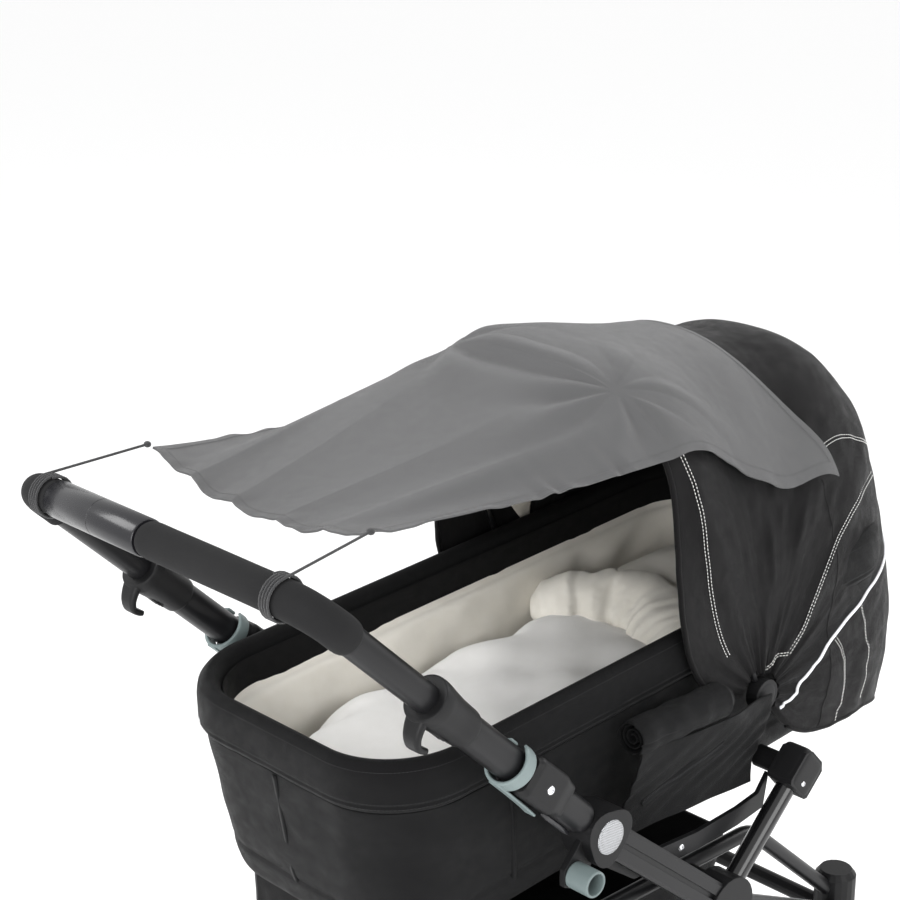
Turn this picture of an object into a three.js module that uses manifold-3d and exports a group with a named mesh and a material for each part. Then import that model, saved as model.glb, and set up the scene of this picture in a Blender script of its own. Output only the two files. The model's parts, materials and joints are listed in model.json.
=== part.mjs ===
// A baby stroller with a carrycot, a folding hood, a tied-on sun sail and a telescopic handle.
// Millimetres. +Z is up, +Y is the way the stroller is pushed, +X is its right-hand side.
// The origin is on the floor under the middle of the stroller's bounding box.
import * as THREE from 'three';
import { mergeVertices } from 'three/addons/utils/BufferGeometryUtils.js';
import Module from 'manifold-3d';

const wasm = await Module();
wasm.setup();

// ---------- driving dimensions ----------
const GAP = 0.4; // between pieces that touch
const SIDES = [['near', 1], ['far', -1]];

// Side frame. Every point is [y, z] in the plane of the side tubes.
const TUBE_X = 237;
const HANDLE_BEND = [-538, 1060];
const HUB = [-149, 689];
const X_PIVOT = [74, 508];
const BRACKET = [208, 634];
const INNER_TUBE_R = 16;
const OUTER_TUBE_R = 19;
const OUTER_TUBE_BORE_R = 16.4;
const GRIP_R = 19.5;
const CROSS_TUBE_R = 12.5;
const HUB_R = 36;
const HUB_INSIDE_X = 214;
const HUB_OUTSIDE_X = 260;

// Distances from the handle's bend, down the side tube.
const GRIP_END = 58;
const COLLAR_START = 191;
const COLLAR_END = 262;
const OUTER_TUBE_START = 206;
const INNER_TUBE_END = 330;
const LATCH_START = 346;
const LATCH_END = 432;

// Wheels
const REAR_AXLE = [-306, 150];
const REAR_WHEEL_R = 150;
const REAR_WHEEL_X = 286;
const FRONT_WHEEL_R = 138;
const CASTER_X = 180;
const CASTER_Y = 388;
const CASTER_TRAIL = 45;
const TYRE_WIDTH = 42;
const WHEEL_FACETS = 32;
const AXLE_PIN_R = 7;
const CASTER_HOUSING_R = 27;
const CASTER_HOUSING_Z = [314, 406];

// Carrycot. Its own frame stands on the rim's top line and is tilted head-up.
const COT_MIDDLE_Y = 36;
const COT_RIM_Z = 850;
const COT_TILT = 0.071;
const COT_HALF_WIDTH = 196;
const COT_HALF_LENGTH = 450;
const COT_CORNER_R = 105;
const COT_RIM_HEIGHT = 58;
const COT_DEPTH = 240;

// Hood. Its ribs fan out from a pivot on each side of the carrycot.
const HOOD_PIVOT = [176, 735];
const HOOD_HALF_WIDTH = 208;
const HOOD_ROOT_R = 25;
const HOOD_SKIN = 3;
const HOOD_FRONT_ANGLE = 115;
const HOOD_FRONT_SWEEP = [40, 12]; // how far the edge swings out at the pivot, and over how much turn
const HOOD_SEAM_ANGLE = 76;
const HOOD_BACK_ANGLE = -21;
const HOOD_BACK_SWEEP = [-34, 11];
const HOOD_RADII = [
  [-60, 372], [-22, 372], [-10, 380], [10, 384], [28, 410], [45, 428], [68, 438], [95, 445], [115, 450],
  [180, 450],
];
const BOW_TUBE_R = 3.5;

// Sun sail and its ties
const SAIL_REAR_Y = -414;
const SAIL_REAR_Z = 1089;
const SAIL_REAR_HALF_WIDTH = 180;
const SAIL_THICKNESS = 2.4;
const SAIL_HOOD_GAP = 4;
const CORD_R = 1.5;
const CORD_TURNS = 4;
const CORD_PITCH = 3.9;

// Small pieces
const HANDLE_BEND_R = 36;
const GRIP_SLEEVE_X = [-177, -20];
const COLLAR_TAB_HALF_WIDTH = 11;
const LATCH_BAND = 18;
const HOUSING_START = 370;
const REFLECTOR_R = 19.5;
const SOCKET = [-190, 654];
const SOCKET_X = [247, 278];
const X_JOINT_R = 38;
const X_JOINT_STUB = [74, 533];
const COT_SEAT_X = 181;
const BUTTON_R = 4.5;
const REAR_AXLE_R = 12;
const BASKET_FRAME_X = 180;
const BASKET_FRAME_Z = 533;
const BASKET_FRAME_R = 10;
const BASKET_FRONT_Y = 199;
const BASKET_BACK_Y = -290;
const BASKET_FRAME_FOOT_Z = 367;
const BASKET_BEND_R = 55;
const BASKET_FLOOR_Z = 350;
const POCKET_Y = [-75, 88];
const RIB_SQUARENESS = 3.7;
const HOOD_PIVOT_R = 20;
const SAIL_FRONT_ANGLE = 62;
const SAIL_FRONT_RISE = 38;
const SAIL_EDGE_TURN = [38, 25];
const SAIL_SAG = 14;
const CORD_COIL_R = 22.4;
const CORD_COIL_X = 199;

// ---------- materials ----------
const finishes = {
  black_paint: [0x17181a, 0.32, 0.6],
  gloss_tube: [0x101113, 0.12, 0.7],
  black_plastic: [0x1b1c1e, 0.5, 0.0],
  gloss_plastic: [0x26272a, 0.18, 0.0],
  grey_plastic: [0x9aa5a5, 0.45, 0.0],
  reflector: [0xd5d9dc, 0.2, 0.3],
  foam: [0x232324, 0.9, 0.0],
  tyre: [0x1c1c1d, 0.85, 0.0],
  rim: [0x8d9297, 0.35, 0.6],
  cot_fabric: [0x141415, 0.85, 0.0],
  lining: [0xe9e4d8, 0.9, 0.0],
  hood_fabric: [0x121213, 0.8, 0.0],
  sail_fabric: [0x6a6a6c, 0.75, 0.0],
  cord: [0x1a1a1b, 0.8, 0.0],
};

const group = new THREE.Group();

function add(name, geometry, finish, parent = group) {
  const [color, roughness, metalness] = finishes[finish];
  const mesh = new THREE.Mesh(geometry, new THREE.MeshStandardMaterial({ color, roughness, metalness }));
  mesh.name = name;
  parent.add(mesh);
  return mesh;
}

// ---------- shape helpers ----------
const v3 = (x, y, z) => new THREE.Vector3(x, y, z);

/** Positions only, with equal vertices joined. */
function bare(geometry) {
  const g = geometry.clone();
  g.deleteAttribute('normal');
  g.deleteAttribute('uv');
  return mergeVertices(g, 1e-3);
}

function toManifold(geometry) {
  const g = bare(geometry);
  const mesh = new wasm.Mesh({
    numProp: 3,
    vertProperties: new Float32Array(g.attributes.position.array),
    triVerts: new Uint32Array(g.index.array),
  });
  mesh.merge();
  return new wasm.Manifold(mesh);
}

function fromManifold(manifold) {
  const mesh = manifold.getMesh();
  const g = new THREE.BufferGeometry();
  g.setAttribute('position', new THREE.BufferAttribute(new Float32Array(mesh.vertProperties), 3));
  g.setIndex(new THREE.BufferAttribute(new Uint32Array(mesh.triVerts), 1));
  const flat = g.toNonIndexed();
  flat.computeVertexNormals();
  return flat;
}

const union = (...parts) => fromManifold(parts.map(toManifold).reduce((a, b) => a.add(b)));
const cut = (from, ...tools) =>
  fromManifold(tools.map(toManifold).reduce((a, b) => a.subtract(b), toManifold(from)));

/** A closed mesh from corner points and triangles, with its faces outward. */
function solid(points, triangles) {
  let volume = 0;
  for (const [a, b, c] of triangles) volume += points[a].dot(points[b].clone().cross(points[c]));
  const turned = volume < 0 ? triangles.map(([a, b, c]) => [a, c, b]) : triangles;
  const g = new THREE.BufferGeometry().setFromPoints(turned.flat().map((i) => points[i]));
  g.computeVertexNormals();
  return g;
}

/** A cylinder from point a to point b. */
function rod(a, b, radius, sides = 16) {
  const along = b.clone().sub(a);
  const g = new THREE.CylinderGeometry(radius, radius, along.length(), sides);
  g.applyQuaternion(new THREE.Quaternion().setFromUnitVectors(v3(0, 1, 0), along.clone().normalize()));
  const middle = a.clone().add(b).multiplyScalar(0.5);
  return g.translate(middle.x, middle.y, middle.z);
}

/** A cylinder along X between two x positions, centred on a [y, z] point. */
const rodX = (xa, xb, [y, z], radius, sides = 20) => rod(v3(xa, y, z), v3(xb, y, z), radius, sides);

/** A round section, or a ring where inner is more than 0. */
function ringShape(outer, inner, sides) {
  const corner = (r, i) => {
    const turn = (2 * Math.PI * i) / sides;
    return new THREE.Vector2(r * Math.cos(turn), r * Math.sin(turn));
  };
  const loop = (r) => Array.from({ length: sides }, (_, i) => corner(r, i));
  const shape = new THREE.Shape(loop(outer));
  if (inner > 0) shape.holes.push(new THREE.Path(loop(inner)));
  return shape;
}

/** A curve that passes its stations one after the other, so an extrusion has a section at each. */
class Route extends THREE.Curve {
  constructor(stations) {
    super();
    this.stations = stations;
    this.steps = stations.length - 1;
  }

  getPointAt(share, target = new THREE.Vector3()) {
    return target.copy(this.stations[Math.round(share * this.steps)].point);
  }

  getTangentAt(share, target = new THREE.Vector3()) {
    return target.copy(this.stations[Math.round(share * this.steps)].tangent);
  }
}

/** Straight runs through the points, with a round bend of bendSteps stations at each inner point. */
function bentRoute(points, bendRadius = 0, bendSteps = 6) {
  const last = points.length - 1;
  const heading = (i) => points[i + 1].clone().sub(points[i]).normalize();
  const stations = [{ point: points[0], tangent: heading(0) }];
  for (let i = 1; i < last; i++) {
    const [enterDir, leaveDir] = [heading(i - 1), heading(i)];
    const turn = enterDir.angleTo(leaveDir);
    const axis = enterDir.clone().cross(leaveDir).normalize();
    const inward = axis.clone().cross(enterDir);
    const enter = points[i].clone().addScaledVector(enterDir, -bendRadius * Math.tan(turn / 2));
    const centre = enter.clone().addScaledVector(inward, bendRadius);
    for (let k = 0; k <= bendSteps; k++) {
      const part = (turn * k) / bendSteps;
      const arm = enter.clone().sub(centre).applyAxisAngle(axis, part);
      stations.push({ point: centre.clone().add(arm), tangent: enterDir.clone().applyAxisAngle(axis, part) });
    }
  }
  stations.push({ point: points[last], tangent: heading(last - 1) });
  return new Route(stations);
}

/** A smooth route through close points, each station headed at its next neighbour. */
function smoothRoute(points) {
  const last = points.length - 1;
  return new Route(points.map((point, i) => {
    const before = points[Math.max(0, i - 1)];
    const after = points[Math.min(last, i + 1)];
    return { point, tangent: after.clone().sub(before).normalize() };
  }));
}

/** A section swept along a route. */
const swept = (section, route) =>
  new THREE.ExtrudeGeometry(section, { extrudePath: route, steps: route.steps, bevelEnabled: false });

const tube = (route, outer, inner = 0, sides = 12) => swept(ringShape(outer, inner, sides), route);

/** A flat outline of [y, z] points, made thick along X between two x positions. */
function plateX(outline, xa, xb) {
  const shape = new THREE.Shape(outline.map(([y, z]) => new THREE.Vector2(y, z)));
  const low = Math.min(xa, xb);
  const g = new THREE.ExtrudeGeometry(shape, { depth: Math.abs(xb - xa), bevelEnabled: false });
  return g.applyMatrix4(new THREE.Matrix4().set(0, 0, 1, low, 1, 0, 0, 0, 0, 1, 0, 0, 0, 0, 0, 1));
}

/** A closed profile of [x, radius] points, turned about the X direction through a [y, z] point. */
function turnedX(profile, [y, z], sides = 32) {
  const loop = [...profile, profile[0]].map(([x, r]) => new THREE.Vector2(r, x));
  const g = bare(new THREE.LatheGeometry(loop, sides)).rotateZ(-Math.PI / 2).translate(0, y, z);
  const points = Array.from({ length: g.attributes.position.count }, (_, i) =>
    new THREE.Vector3().fromBufferAttribute(g.attributes.position, i));
  const index = Array.from(g.index.array);
  const triangles = Array.from({ length: index.length / 3 }, (_, i) => index.slice(3 * i, 3 * i + 3));
  return solid(points, triangles.filter(([a, b, c]) => a !== b && b !== c && c !== a));
}

/** Rings of equally many points, joined one to the next. The first and last are closed flat. */
function loft(rings) {
  const n = rings[0].length;
  const points = rings.flat();
  const triangles = [];
  for (let r = 0; r + 1 < rings.length; r++) {
    for (let i = 0; i < n; i++) {
      const [a, b] = [r * n + i, r * n + ((i + 1) % n)];
      triangles.push([a, b, b + n], [a, b + n, a + n]);
    }
  }
  for (const [start, turn] of [[0, true], [(rings.length - 1) * n, false]]) {
    const centre = rings[start / n].reduce((sum, p) => sum.add(p), v3(0, 0, 0)).divideScalar(n);
    points.push(centre);
    for (let i = 0; i < n; i++) {
      const [a, b] = [start + i, start + ((i + 1) % n)];
      triangles.push(turn ? [b, a, points.length - 1] : [a, b, points.length - 1]);
    }
  }
  return solid(points, triangles);
}

/** Rings joined one to the next and the last to the first, as a ring-shaped solid. */
function loopLoft(rings) {
  const n = rings[0].length;
  const triangles = [];
  rings.forEach((_, r) => {
    const next = (r + 1) % rings.length;
    for (let i = 0; i < n; i++) {
      const [a, b, c, d] = [r * n + i, r * n + ((i + 1) % n), next * n + ((i + 1) % n), next * n + i];
      triangles.push([a, b, c], [a, c, d]);
    }
  });
  return solid(rings.flat(), triangles);
}

/** A sheet from rows of points, with its two faces at these distances from the rows' surface. */
function sheet(rows, outward, inward) {
  const [m, n] = [rows.length, rows[0].length];
  const at = (i, j) => rows[Math.min(m - 1, Math.max(0, i))][Math.min(n - 1, Math.max(0, j))];
  const face = (distance) => rows.flatMap((row, i) => row.map((p, j) => {
    const across = at(i, j + 1).clone().sub(at(i, j - 1));
    const on = at(i + 1, j).clone().sub(at(i - 1, j));
    return p.clone().addScaledVector(on.cross(across).normalize(), distance);
  }));
  const points = [...face(outward), ...face(inward)];
  const id = (i, j, low) => i * n + j + (low ? m * n : 0);
  const triangles = [];
  for (let i = 0; i + 1 < m; i++) {
    for (let j = 0; j + 1 < n; j++) {
      const quad = (low) => [id(i, j, low), id(i, j + 1, low), id(i + 1, j + 1, low), id(i + 1, j, low)];
      const [a, b, c, d] = quad(false);
      const [e, f, g, h] = quad(true);
      triangles.push([a, b, c], [a, c, d], [e, g, f], [e, h, g]);
    }
  }
  const wall = (i0, j0, i1, j1) => {
    const [a, b, c, d] = [id(i0, j0), id(i1, j1), id(i1, j1, true), id(i0, j0, true)];
    triangles.push([a, c, b], [a, d, c]);
  };
  for (let j = 0; j + 1 < n; j++) wall(0, j, 0, j + 1);
  for (let i = 0; i + 1 < m; i++) wall(i, n - 1, i + 1, n - 1);
  for (let j = n - 1; j > 0; j--) wall(m - 1, j, m - 1, j - 1);
  for (let i = m - 1; i > 0; i--) wall(i, 0, i - 1, 0);
  return solid(points, triangles);
}

/** Points around a rectangle with round corners. */
function roundedRectangle(halfX, halfY, radius, perCorner = 6) {
  const corners = [[1, 1, 0], [-1, 1, 1], [-1, -1, 2], [1, -1, 3]];
  return corners.flatMap(([sx, sy, quarter]) => Array.from({ length: perCorner }, (_, k) => {
    const turn = (quarter + k / (perCorner - 1)) * (Math.PI / 2);
    return [sx * (halfX - radius) + radius * Math.cos(turn), sy * (halfY - radius) + radius * Math.sin(turn)];
  }));
}

// ---------- the side plane ----------
const unit = ([ay, az], [by, bz]) => {
  const length = Math.hypot(by - ay, bz - az);
  return [(by - ay) / length, (bz - az) / length];
};
const HANDLE_DIR = unit(HANDLE_BEND, HUB);
const PUSH_DIR = unit(HUB, X_PIVOT);
const CROSS_DIR = unit(X_PIVOT, BRACKET);

/** The [y, z] point s along a direction from a point, and n to the right of it as seen from +X. */
const offset = ([y, z], [dy, dz], s, n = 0) => [y + dy * s + dz * n, z + dz * s - dy * n];
/** A point s down the handle's side tube from its bend, and n below the tube's centreline. */
const onHandle = (s, n = 0) => offset(HANDLE_BEND, HANDLE_DIR, s, n);
const distance = ([ay, az], [by, bz]) => Math.hypot(by - ay, bz - az);

// ---------- handle ----------
function addHandle() {
  const leg = (side, s) => v3(side * TUBE_X, ...onHandle(s));
  const bend = (side) => v3(side * TUBE_X, ...HANDLE_BEND);
  const bar = (x) => v3(x, ...HANDLE_BEND);
  const bore = INNER_TUBE_R + GAP;
  const whole = [leg(-1, INNER_TUBE_END), bend(-1), bend(1), leg(1, INNER_TUBE_END)];
  add('handle_tube', tube(bentRoute(whole, HANDLE_BEND_R), INNER_TUBE_R, 0, 16), 'black_paint');
  const far = bentRoute([leg(-1, GRIP_END), bend(-1), bar(GRIP_SLEEVE_X[0] - GAP)], HANDLE_BEND_R);
  const near = bentRoute([bar(GRIP_SLEEVE_X[1] + GAP), bend(1), leg(1, GRIP_END)], HANDLE_BEND_R);
  add('grip_foam_far', tube(far, GRIP_R, bore, 16), 'foam');
  add('grip_foam_near', tube(near, GRIP_R, bore, 16), 'foam');
  const sleeve = bentRoute([bar(GRIP_SLEEVE_X[0]), bar(GRIP_SLEEVE_X[1])]);
  add('grip_sleeve', tube(sleeve, GRIP_R + 0.8, bore, 24), 'gloss_plastic');
}

// ---------- telescope: outer tube, trigger collar and latch ----------
function addTelescope(label, side) {
  const x = side * TUBE_X;
  const at = (s, n = 0) => v3(x, ...onHandle(s, n));
  const hubClearance = rodX(x - 60, x + 60, HUB, HUB_R + GAP, 32);
  const bore = rod(at(OUTER_TUBE_START - 10), at(560), OUTER_TUBE_BORE_R);
  const outer = rod(at(OUTER_TUBE_START), at(distance(HANDLE_BEND, HUB)), OUTER_TUBE_R);
  add(`outer_tube_${label}`, cut(outer, bore, hubClearance), 'black_paint');

  const flare = (s0, s1, r0, r1) => {
    const cone = new THREE.CylinderGeometry(r1, r0, s1 - s0, 24);
    cone.applyQuaternion(new THREE.Quaternion().setFromUnitVectors(v3(0, 1, 0), v3(0, ...HANDLE_DIR)));
    return cone.translate(...at((s0 + s1) / 2));
  };
  const tab = plateX(
    [[190, 18], [198, 40], [214, 47], [229, 40], [216, 34], [212, 18]].map(([s, n]) => onHandle(s, n)),
    x - COLLAR_TAB_HALF_WIDTH, x + COLLAR_TAB_HALF_WIDTH);
  const ring = flare(COLLAR_START, COLLAR_START + 12, 26, 26);
  const taper = flare(COLLAR_START + 11, COLLAR_END, 26, 21.5);
  const through = rod(at(COLLAR_START - 20), at(COLLAR_END + 20), OUTER_TUBE_R + GAP, 24);
  add(`trigger_collar_${label}`, cut(union(ring, taper, tab), through), 'black_plastic');

  const block = plateX(
    [[HOUSING_START, -24], [HOUSING_START, 24], [LATCH_END, 24], [LATCH_END + 14, -14], [LATCH_END, -24]]
      .map(([s, n]) => onHandle(s, n)), x - 25, x + 25);
  const tubeClearance = rod(at(HOUSING_START - 20), at(LATCH_END + 60), OUTER_TUBE_R + GAP, 24);
  add(`latch_housing_${label}`, cut(block, tubeClearance), 'black_plastic');

  const band = rod(at(LATCH_START), at(LATCH_START + LATCH_BAND), 27, 24);
  const bandBore = rod(at(LATCH_START - 5), at(HOUSING_START), 22.4, 24);
  const opening = plateX(
    [[LATCH_START - 5, -9], [HOUSING_START, -9], [HOUSING_START, -40], [LATCH_START - 5, -40]]
      .map(([s, n]) => onHandle(s, n)), x - 40, x + 40);
  const tongue = plateX(
    [[LATCH_START, 24.6], [LATCH_END - 12, 24.6], [LATCH_END - 6, 30], [LATCH_START, 28]]
      .map(([s, n]) => onHandle(s, n)), x - 8, x + 8);
  add(`latch_lever_${label}`, union(cut(band, bandBore, opening), tongue), 'grey_plastic');
}

// ---------- hub, push tube and X joint ----------
function addSideFrame(label, side) {
  const x = side * TUBE_X;
  const [inside, outside] = [side * HUB_INSIDE_X, side * HUB_OUTSIDE_X];
  const roundTriangle = Array.from({ length: 30 }, (_, i) => {
    const turn = (2 * Math.PI * i) / 30;
    const r = HUB_R - 3 + 3 * Math.cos(3 * (turn - 0.35));
    return [HUB[0] + r * Math.cos(turn), HUB[1] + r * Math.sin(turn)];
  });
  const boss = rodX(inside + side, side * COT_SEAT_X, HUB, 14);
  const ear = plateX(
    [[-178, 694], [-206, 664], [-206, 644], [-184, 634], [-160, 662]],
    side * (SOCKET_X[0] - 8), side * (SOCKET_X[0] - GAP));
  add(`hub_${label}`, union(plateX(roundTriangle, inside, outside), boss, ear), 'black_plastic');
  add(`reflector_${label}`, rodX(outside + side * GAP, outside + side * 3.4, HUB, REFLECTOR_R), 'reflector');
  const socket = rodX(side * SOCKET_X[0], side * SOCKET_X[1], SOCKET, 15);
  const socketBore = rodX(side * (SOCKET_X[0] - 2), side * (SOCKET_X[1] + 2), SOCKET, 12);
  add(`accessory_socket_${label}`, cut(socket, socketBore), 'grey_plastic');

  const hubClearance = rodX(x - 60, x + 60, HUB, HUB_R + GAP, 32);
  const jointClearance = rodX(x - 60, x + 60, X_PIVOT, X_JOINT_R + GAP, 32);
  const grooved = new THREE.Shape([
    [-14, -19], [14, -19], [17, -15], [17, -3], [13, -3], [13, 3], [17, 3], [17, 15], [14, 19],
    [-14, 19], [-17, 15], [-17, -15],
  ].map(([a, b]) => new THREE.Vector2(side * a, b)));
  const pushRun = new THREE.ExtrudeGeometry(grooved, { depth: distance(HUB, X_PIVOT), bevelEnabled: false });
  pushRun.applyMatrix4(new THREE.Matrix4().makeBasis(
    v3(1, 0, 0), v3(0, PUSH_DIR[1], -PUSH_DIR[0]), v3(0, ...PUSH_DIR)).setPosition(x, ...HUB));
  add(`push_tube_${label}`, cut(pushRun, hubClearance, jointClearance), 'black_paint');

  const crossBore = rod(v3(x, ...offset(X_PIVOT, CROSS_DIR, -80)), v3(x, ...offset(X_PIVOT, CROSS_DIR, 80)),
    CROSS_TUBE_R + GAP, 16);
  const disc = rodX(x - 19, x + 19, X_PIVOT, X_JOINT_R, 24);
  const stub = rodX(x - side * 15, side * (BASKET_FRAME_X + BASKET_FRAME_R + GAP), X_JOINT_STUB, 7, 16);
  add(`x_joint_${label}`, union(cut(disc, crossBore), stub), 'black_plastic');

  const crossEnd = distance(X_PIVOT, BRACKET) - 8;
  const crossStart = -distance(X_PIVOT, REAR_AXLE);
  const crossRod = rod(v3(x, ...offset(X_PIVOT, CROSS_DIR, crossEnd)), v3(x, ...REAR_AXLE), CROSS_TUBE_R);
  const axleClearance = rodX(x - 60, x + 60, REAR_AXLE, REAR_AXLE_R + GAP, 24);
  add(`cross_tube_${label}`, cut(crossRod, axleClearance), 'gloss_tube');

  const legEnd = v3(side * (CASTER_X + 8), CASTER_Y, CASTER_HOUSING_Z[0] + 26);
  const casterClearance = rod(v3(side * CASTER_X, CASTER_Y, 200), v3(side * CASTER_X, CASTER_Y, 500),
    CASTER_HOUSING_R + GAP, 20);
  const leg = rod(v3(x, ...X_PIVOT), legEnd, 14);
  add(`front_leg_${label}`, cut(leg, jointClearance, casterClearance), 'black_paint');
}

// ---------- carrycot bracket with its release button, and the rail under the carrycot ----------
function addBracket(label, side) {
  const x = side * TUBE_X;
  const at = (s, n) => offset(BRACKET, CROSS_DIR, s, n);
  const outline = [[-24, -20], [-20, -24], [18, -24], [26, -14], [26, 14], [18, 24], [-20, 24], [-24, 20]];
  const block = plateX(outline.map(([s, n]) => at(s, n)), x - 18, x + 18);
  const tubeSocket = rod(v3(x, ...at(-60, 0)), v3(x, ...at(-7, 0)), CROSS_TUBE_R + GAP);
  const buttonBore = rod(v3(x, ...at(0, 15)), v3(x, ...at(0, 40)), BUTTON_R + GAP, 12);
  const seat = rodX(x - side * 17, side * COT_SEAT_X, BRACKET, 14);
  add(`cot_bracket_${label}`, union(cut(block, tubeSocket, buttonBore), seat), 'black_plastic');
  const button = rod(v3(x, ...at(0, 19)), v3(x, ...at(0, 30)), BUTTON_R, 12);
  add(`release_button_${label}`, button, 'grey_plastic');

  const top = [[-118, 653], [-44, 602], [60, 596], [134, 600], [172, 606], [190, 628]];
  const bottom = [[182, 584], [134, 577], [60, 573], [-52, 578], [-128, 632]];
  add(`side_rail_${label}`, plateX([...top, ...bottom], side * 205, side * 211), 'black_paint');
}

// ---------- wheels ----------
function addWheel(label, x, centre, radius) {
  const half = TYRE_WIDTH / 2;
  const seatR = radius - 26;
  const tyre = [[-half + 7, seatR + GAP], [-half, radius - 14], [-half + 8, radius - 2]];
  const otherHalf = tyre.map(([a, r]) => [-a, r]).reverse();
  const section = [...tyre, [0, radius], ...otherHalf].map(([a, r]) => [x + a, r]);
  add(`${label}_tyre`, turnedX(section, centre, WHEEL_FACETS), 'tyre');
  const ringBand = (r0, r1, w, sides) =>
    turnedX([[x - w, r0], [x - w, r1], [x + w, r1], [x + w, r0]], centre, sides);
  const spokes = Array.from({ length: 6 }, (_, i) => {
    const spoke = new THREE.BoxGeometry(14, 12, seatR - 20);
    spoke.translate(0, 0, (seatR - 20) / 2 + 15);
    return spoke.rotateX((i * Math.PI) / 3).translate(x, ...centre);
  });
  const hub = ringBand(AXLE_PIN_R + GAP, 22, 19, 20);
  add(`${label}_rim`, union(ringBand(seatR - 8, seatR, 13, WHEEL_FACETS), hub, ...spokes), 'rim');
}

function addCaster(label, side) {
  const x = side * CASTER_X;
  const centre = [CASTER_Y - CASTER_TRAIL, FRONT_WHEEL_R];
  const crownTop = CASTER_HOUSING_Z[0] - GAP;
  const legOutline = [
    [CASTER_Y - 22, crownTop], [CASTER_Y - 26, 280],
    [centre[0] - 15, centre[1]], [centre[0] - 7, centre[1] - 13],
    [centre[0] + 7, centre[1] - 13], [centre[0] + 15, centre[1]],
    [CASTER_Y + 16, 285], [CASTER_Y + 22, crownTop],
  ];
  const legX = TYRE_WIDTH / 2 + 3;
  const legs = [-1, 1].map((s) => plateX(legOutline, x + s * legX, x + s * (legX + 7)));
  const crown = rod(v3(x, CASTER_Y, crownTop - 22), v3(x, CASTER_Y, crownTop), 25, 24);
  const axle = rodX(x - legX - 3, x + legX + 3, centre, AXLE_PIN_R);
  add(`caster_fork_${label}`, union(...legs, crown, axle), 'black_plastic');
  addWheel(`front_wheel_${label}`, x, centre, FRONT_WHEEL_R);
}

function addAxles() {
  const [low, high] = CASTER_HOUSING_Z;
  const housings = [-1, 1].flatMap((s) => {
    const at = (z) => v3(s * CASTER_X, CASTER_Y, z);
    const cap = new THREE.CylinderGeometry(CASTER_HOUSING_R - 6, CASTER_HOUSING_R, 8, 20);
    cap.rotateX(Math.PI / 2).translate(...at(high - 4));
    return [rod(at(low), at(high - 7.9), CASTER_HOUSING_R, 20), cap];
  });
  const bar = rodX(-CASTER_X, CASTER_X, [CASTER_Y, low + 30], 11, 16);
  add('front_beam', union(bar, ...housings), 'black_plastic');

  const pinEnd = REAR_WHEEL_X + TYRE_WIDTH / 2 + 5;
  const shoulder = REAR_WHEEL_X - 19 - GAP;
  const beam = rodX(-shoulder, shoulder, REAR_AXLE, REAR_AXLE_R);
  const pins = rodX(-pinEnd, pinEnd, REAR_AXLE, AXLE_PIN_R);
  const caps = [-1, 1].map((s) => rodX(s * (REAR_WHEEL_X + 19 + GAP), s * pinEnd, REAR_AXLE, 14));
  add('rear_axle', union(beam, pins, ...caps), 'black_paint');

  const bore = REAR_AXLE_R + GAP;
  const sleeve = turnedX([[-35, bore], [-35, 18], [35, 18], [35, bore]], REAR_AXLE, 24);
  const [ay, az] = REAR_AXLE;
  const pedalSide = [[ay - 15, az + 6], [ay - 68, az + 22], [ay - 70, az + 15], [ay - 15, az - 6]];
  const pedal = plateX(pedalSide, -32, 32);
  add('brake_pedal', union(sleeve, pedal), 'grey_plastic');
}

// ---------- basket ----------
function addBasket() {
  const [x, z, front, back] = [BASKET_FRAME_X, BASKET_FRAME_Z, BASKET_FRONT_Y, BASKET_BACK_Y];
  const foot = (s) => v3(s * x, CASTER_Y, BASKET_FRAME_FOOT_Z);
  const points = [foot(1), v3(x, front, z), v3(x, back, z), v3(-x, back, z), v3(-x, front, z), foot(-1)];
  const casters = [-1, 1].map((s) =>
    rod(v3(s * x, CASTER_Y, 250), v3(s * x, CASTER_Y, 460), CASTER_HOUSING_R + GAP, 24));
  const frame = tube(bentRoute(points, BASKET_BEND_R, 4), BASKET_FRAME_R, 0, 10);
  add('basket_frame', cut(frame, ...casters), 'black_paint');

  const top = z - BASKET_FRAME_R - 1;
  const floor = BASKET_FLOOR_Z;
  const middle = (front + back) / 2 - 9;
  const half = (front - back) / 2 + 6;
  const ring = (halfX, halfY, level) =>
    roundedRectangle(halfX, halfY, 45, 5).map(([px, py]) => v3(px, middle + py, level));
  const tub = loft([
    ring(x - 34, half - 30, floor), ring(x - 12, half, top),
    ring(x - 16, half - 4, top), ring(x - 38, half - 34, floor + 4),
  ]);
  const lipY = middle - half;
  const lip = new THREE.Shape([
    [-150, top - 40], [150, top - 40], [162, top], [158, top + 20], [140, top + 38],
    [-140, top + 38], [-158, top + 20], [-162, top],
  ].map(([a, b]) => new THREE.Vector2(a, b)));
  const lipPlate = new THREE.ExtrudeGeometry(lip, { depth: 4, bevelEnabled: false });
  lipPlate.applyMatrix4(new THREE.Matrix4().set(1, 0, 0, 0, 0, 0, -1, lipY + 4.2, 0, 1, 0, 0, 0, 0, 0, 1));
  add('basket', union(tub, lipPlate), 'cot_fabric');
}

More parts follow.
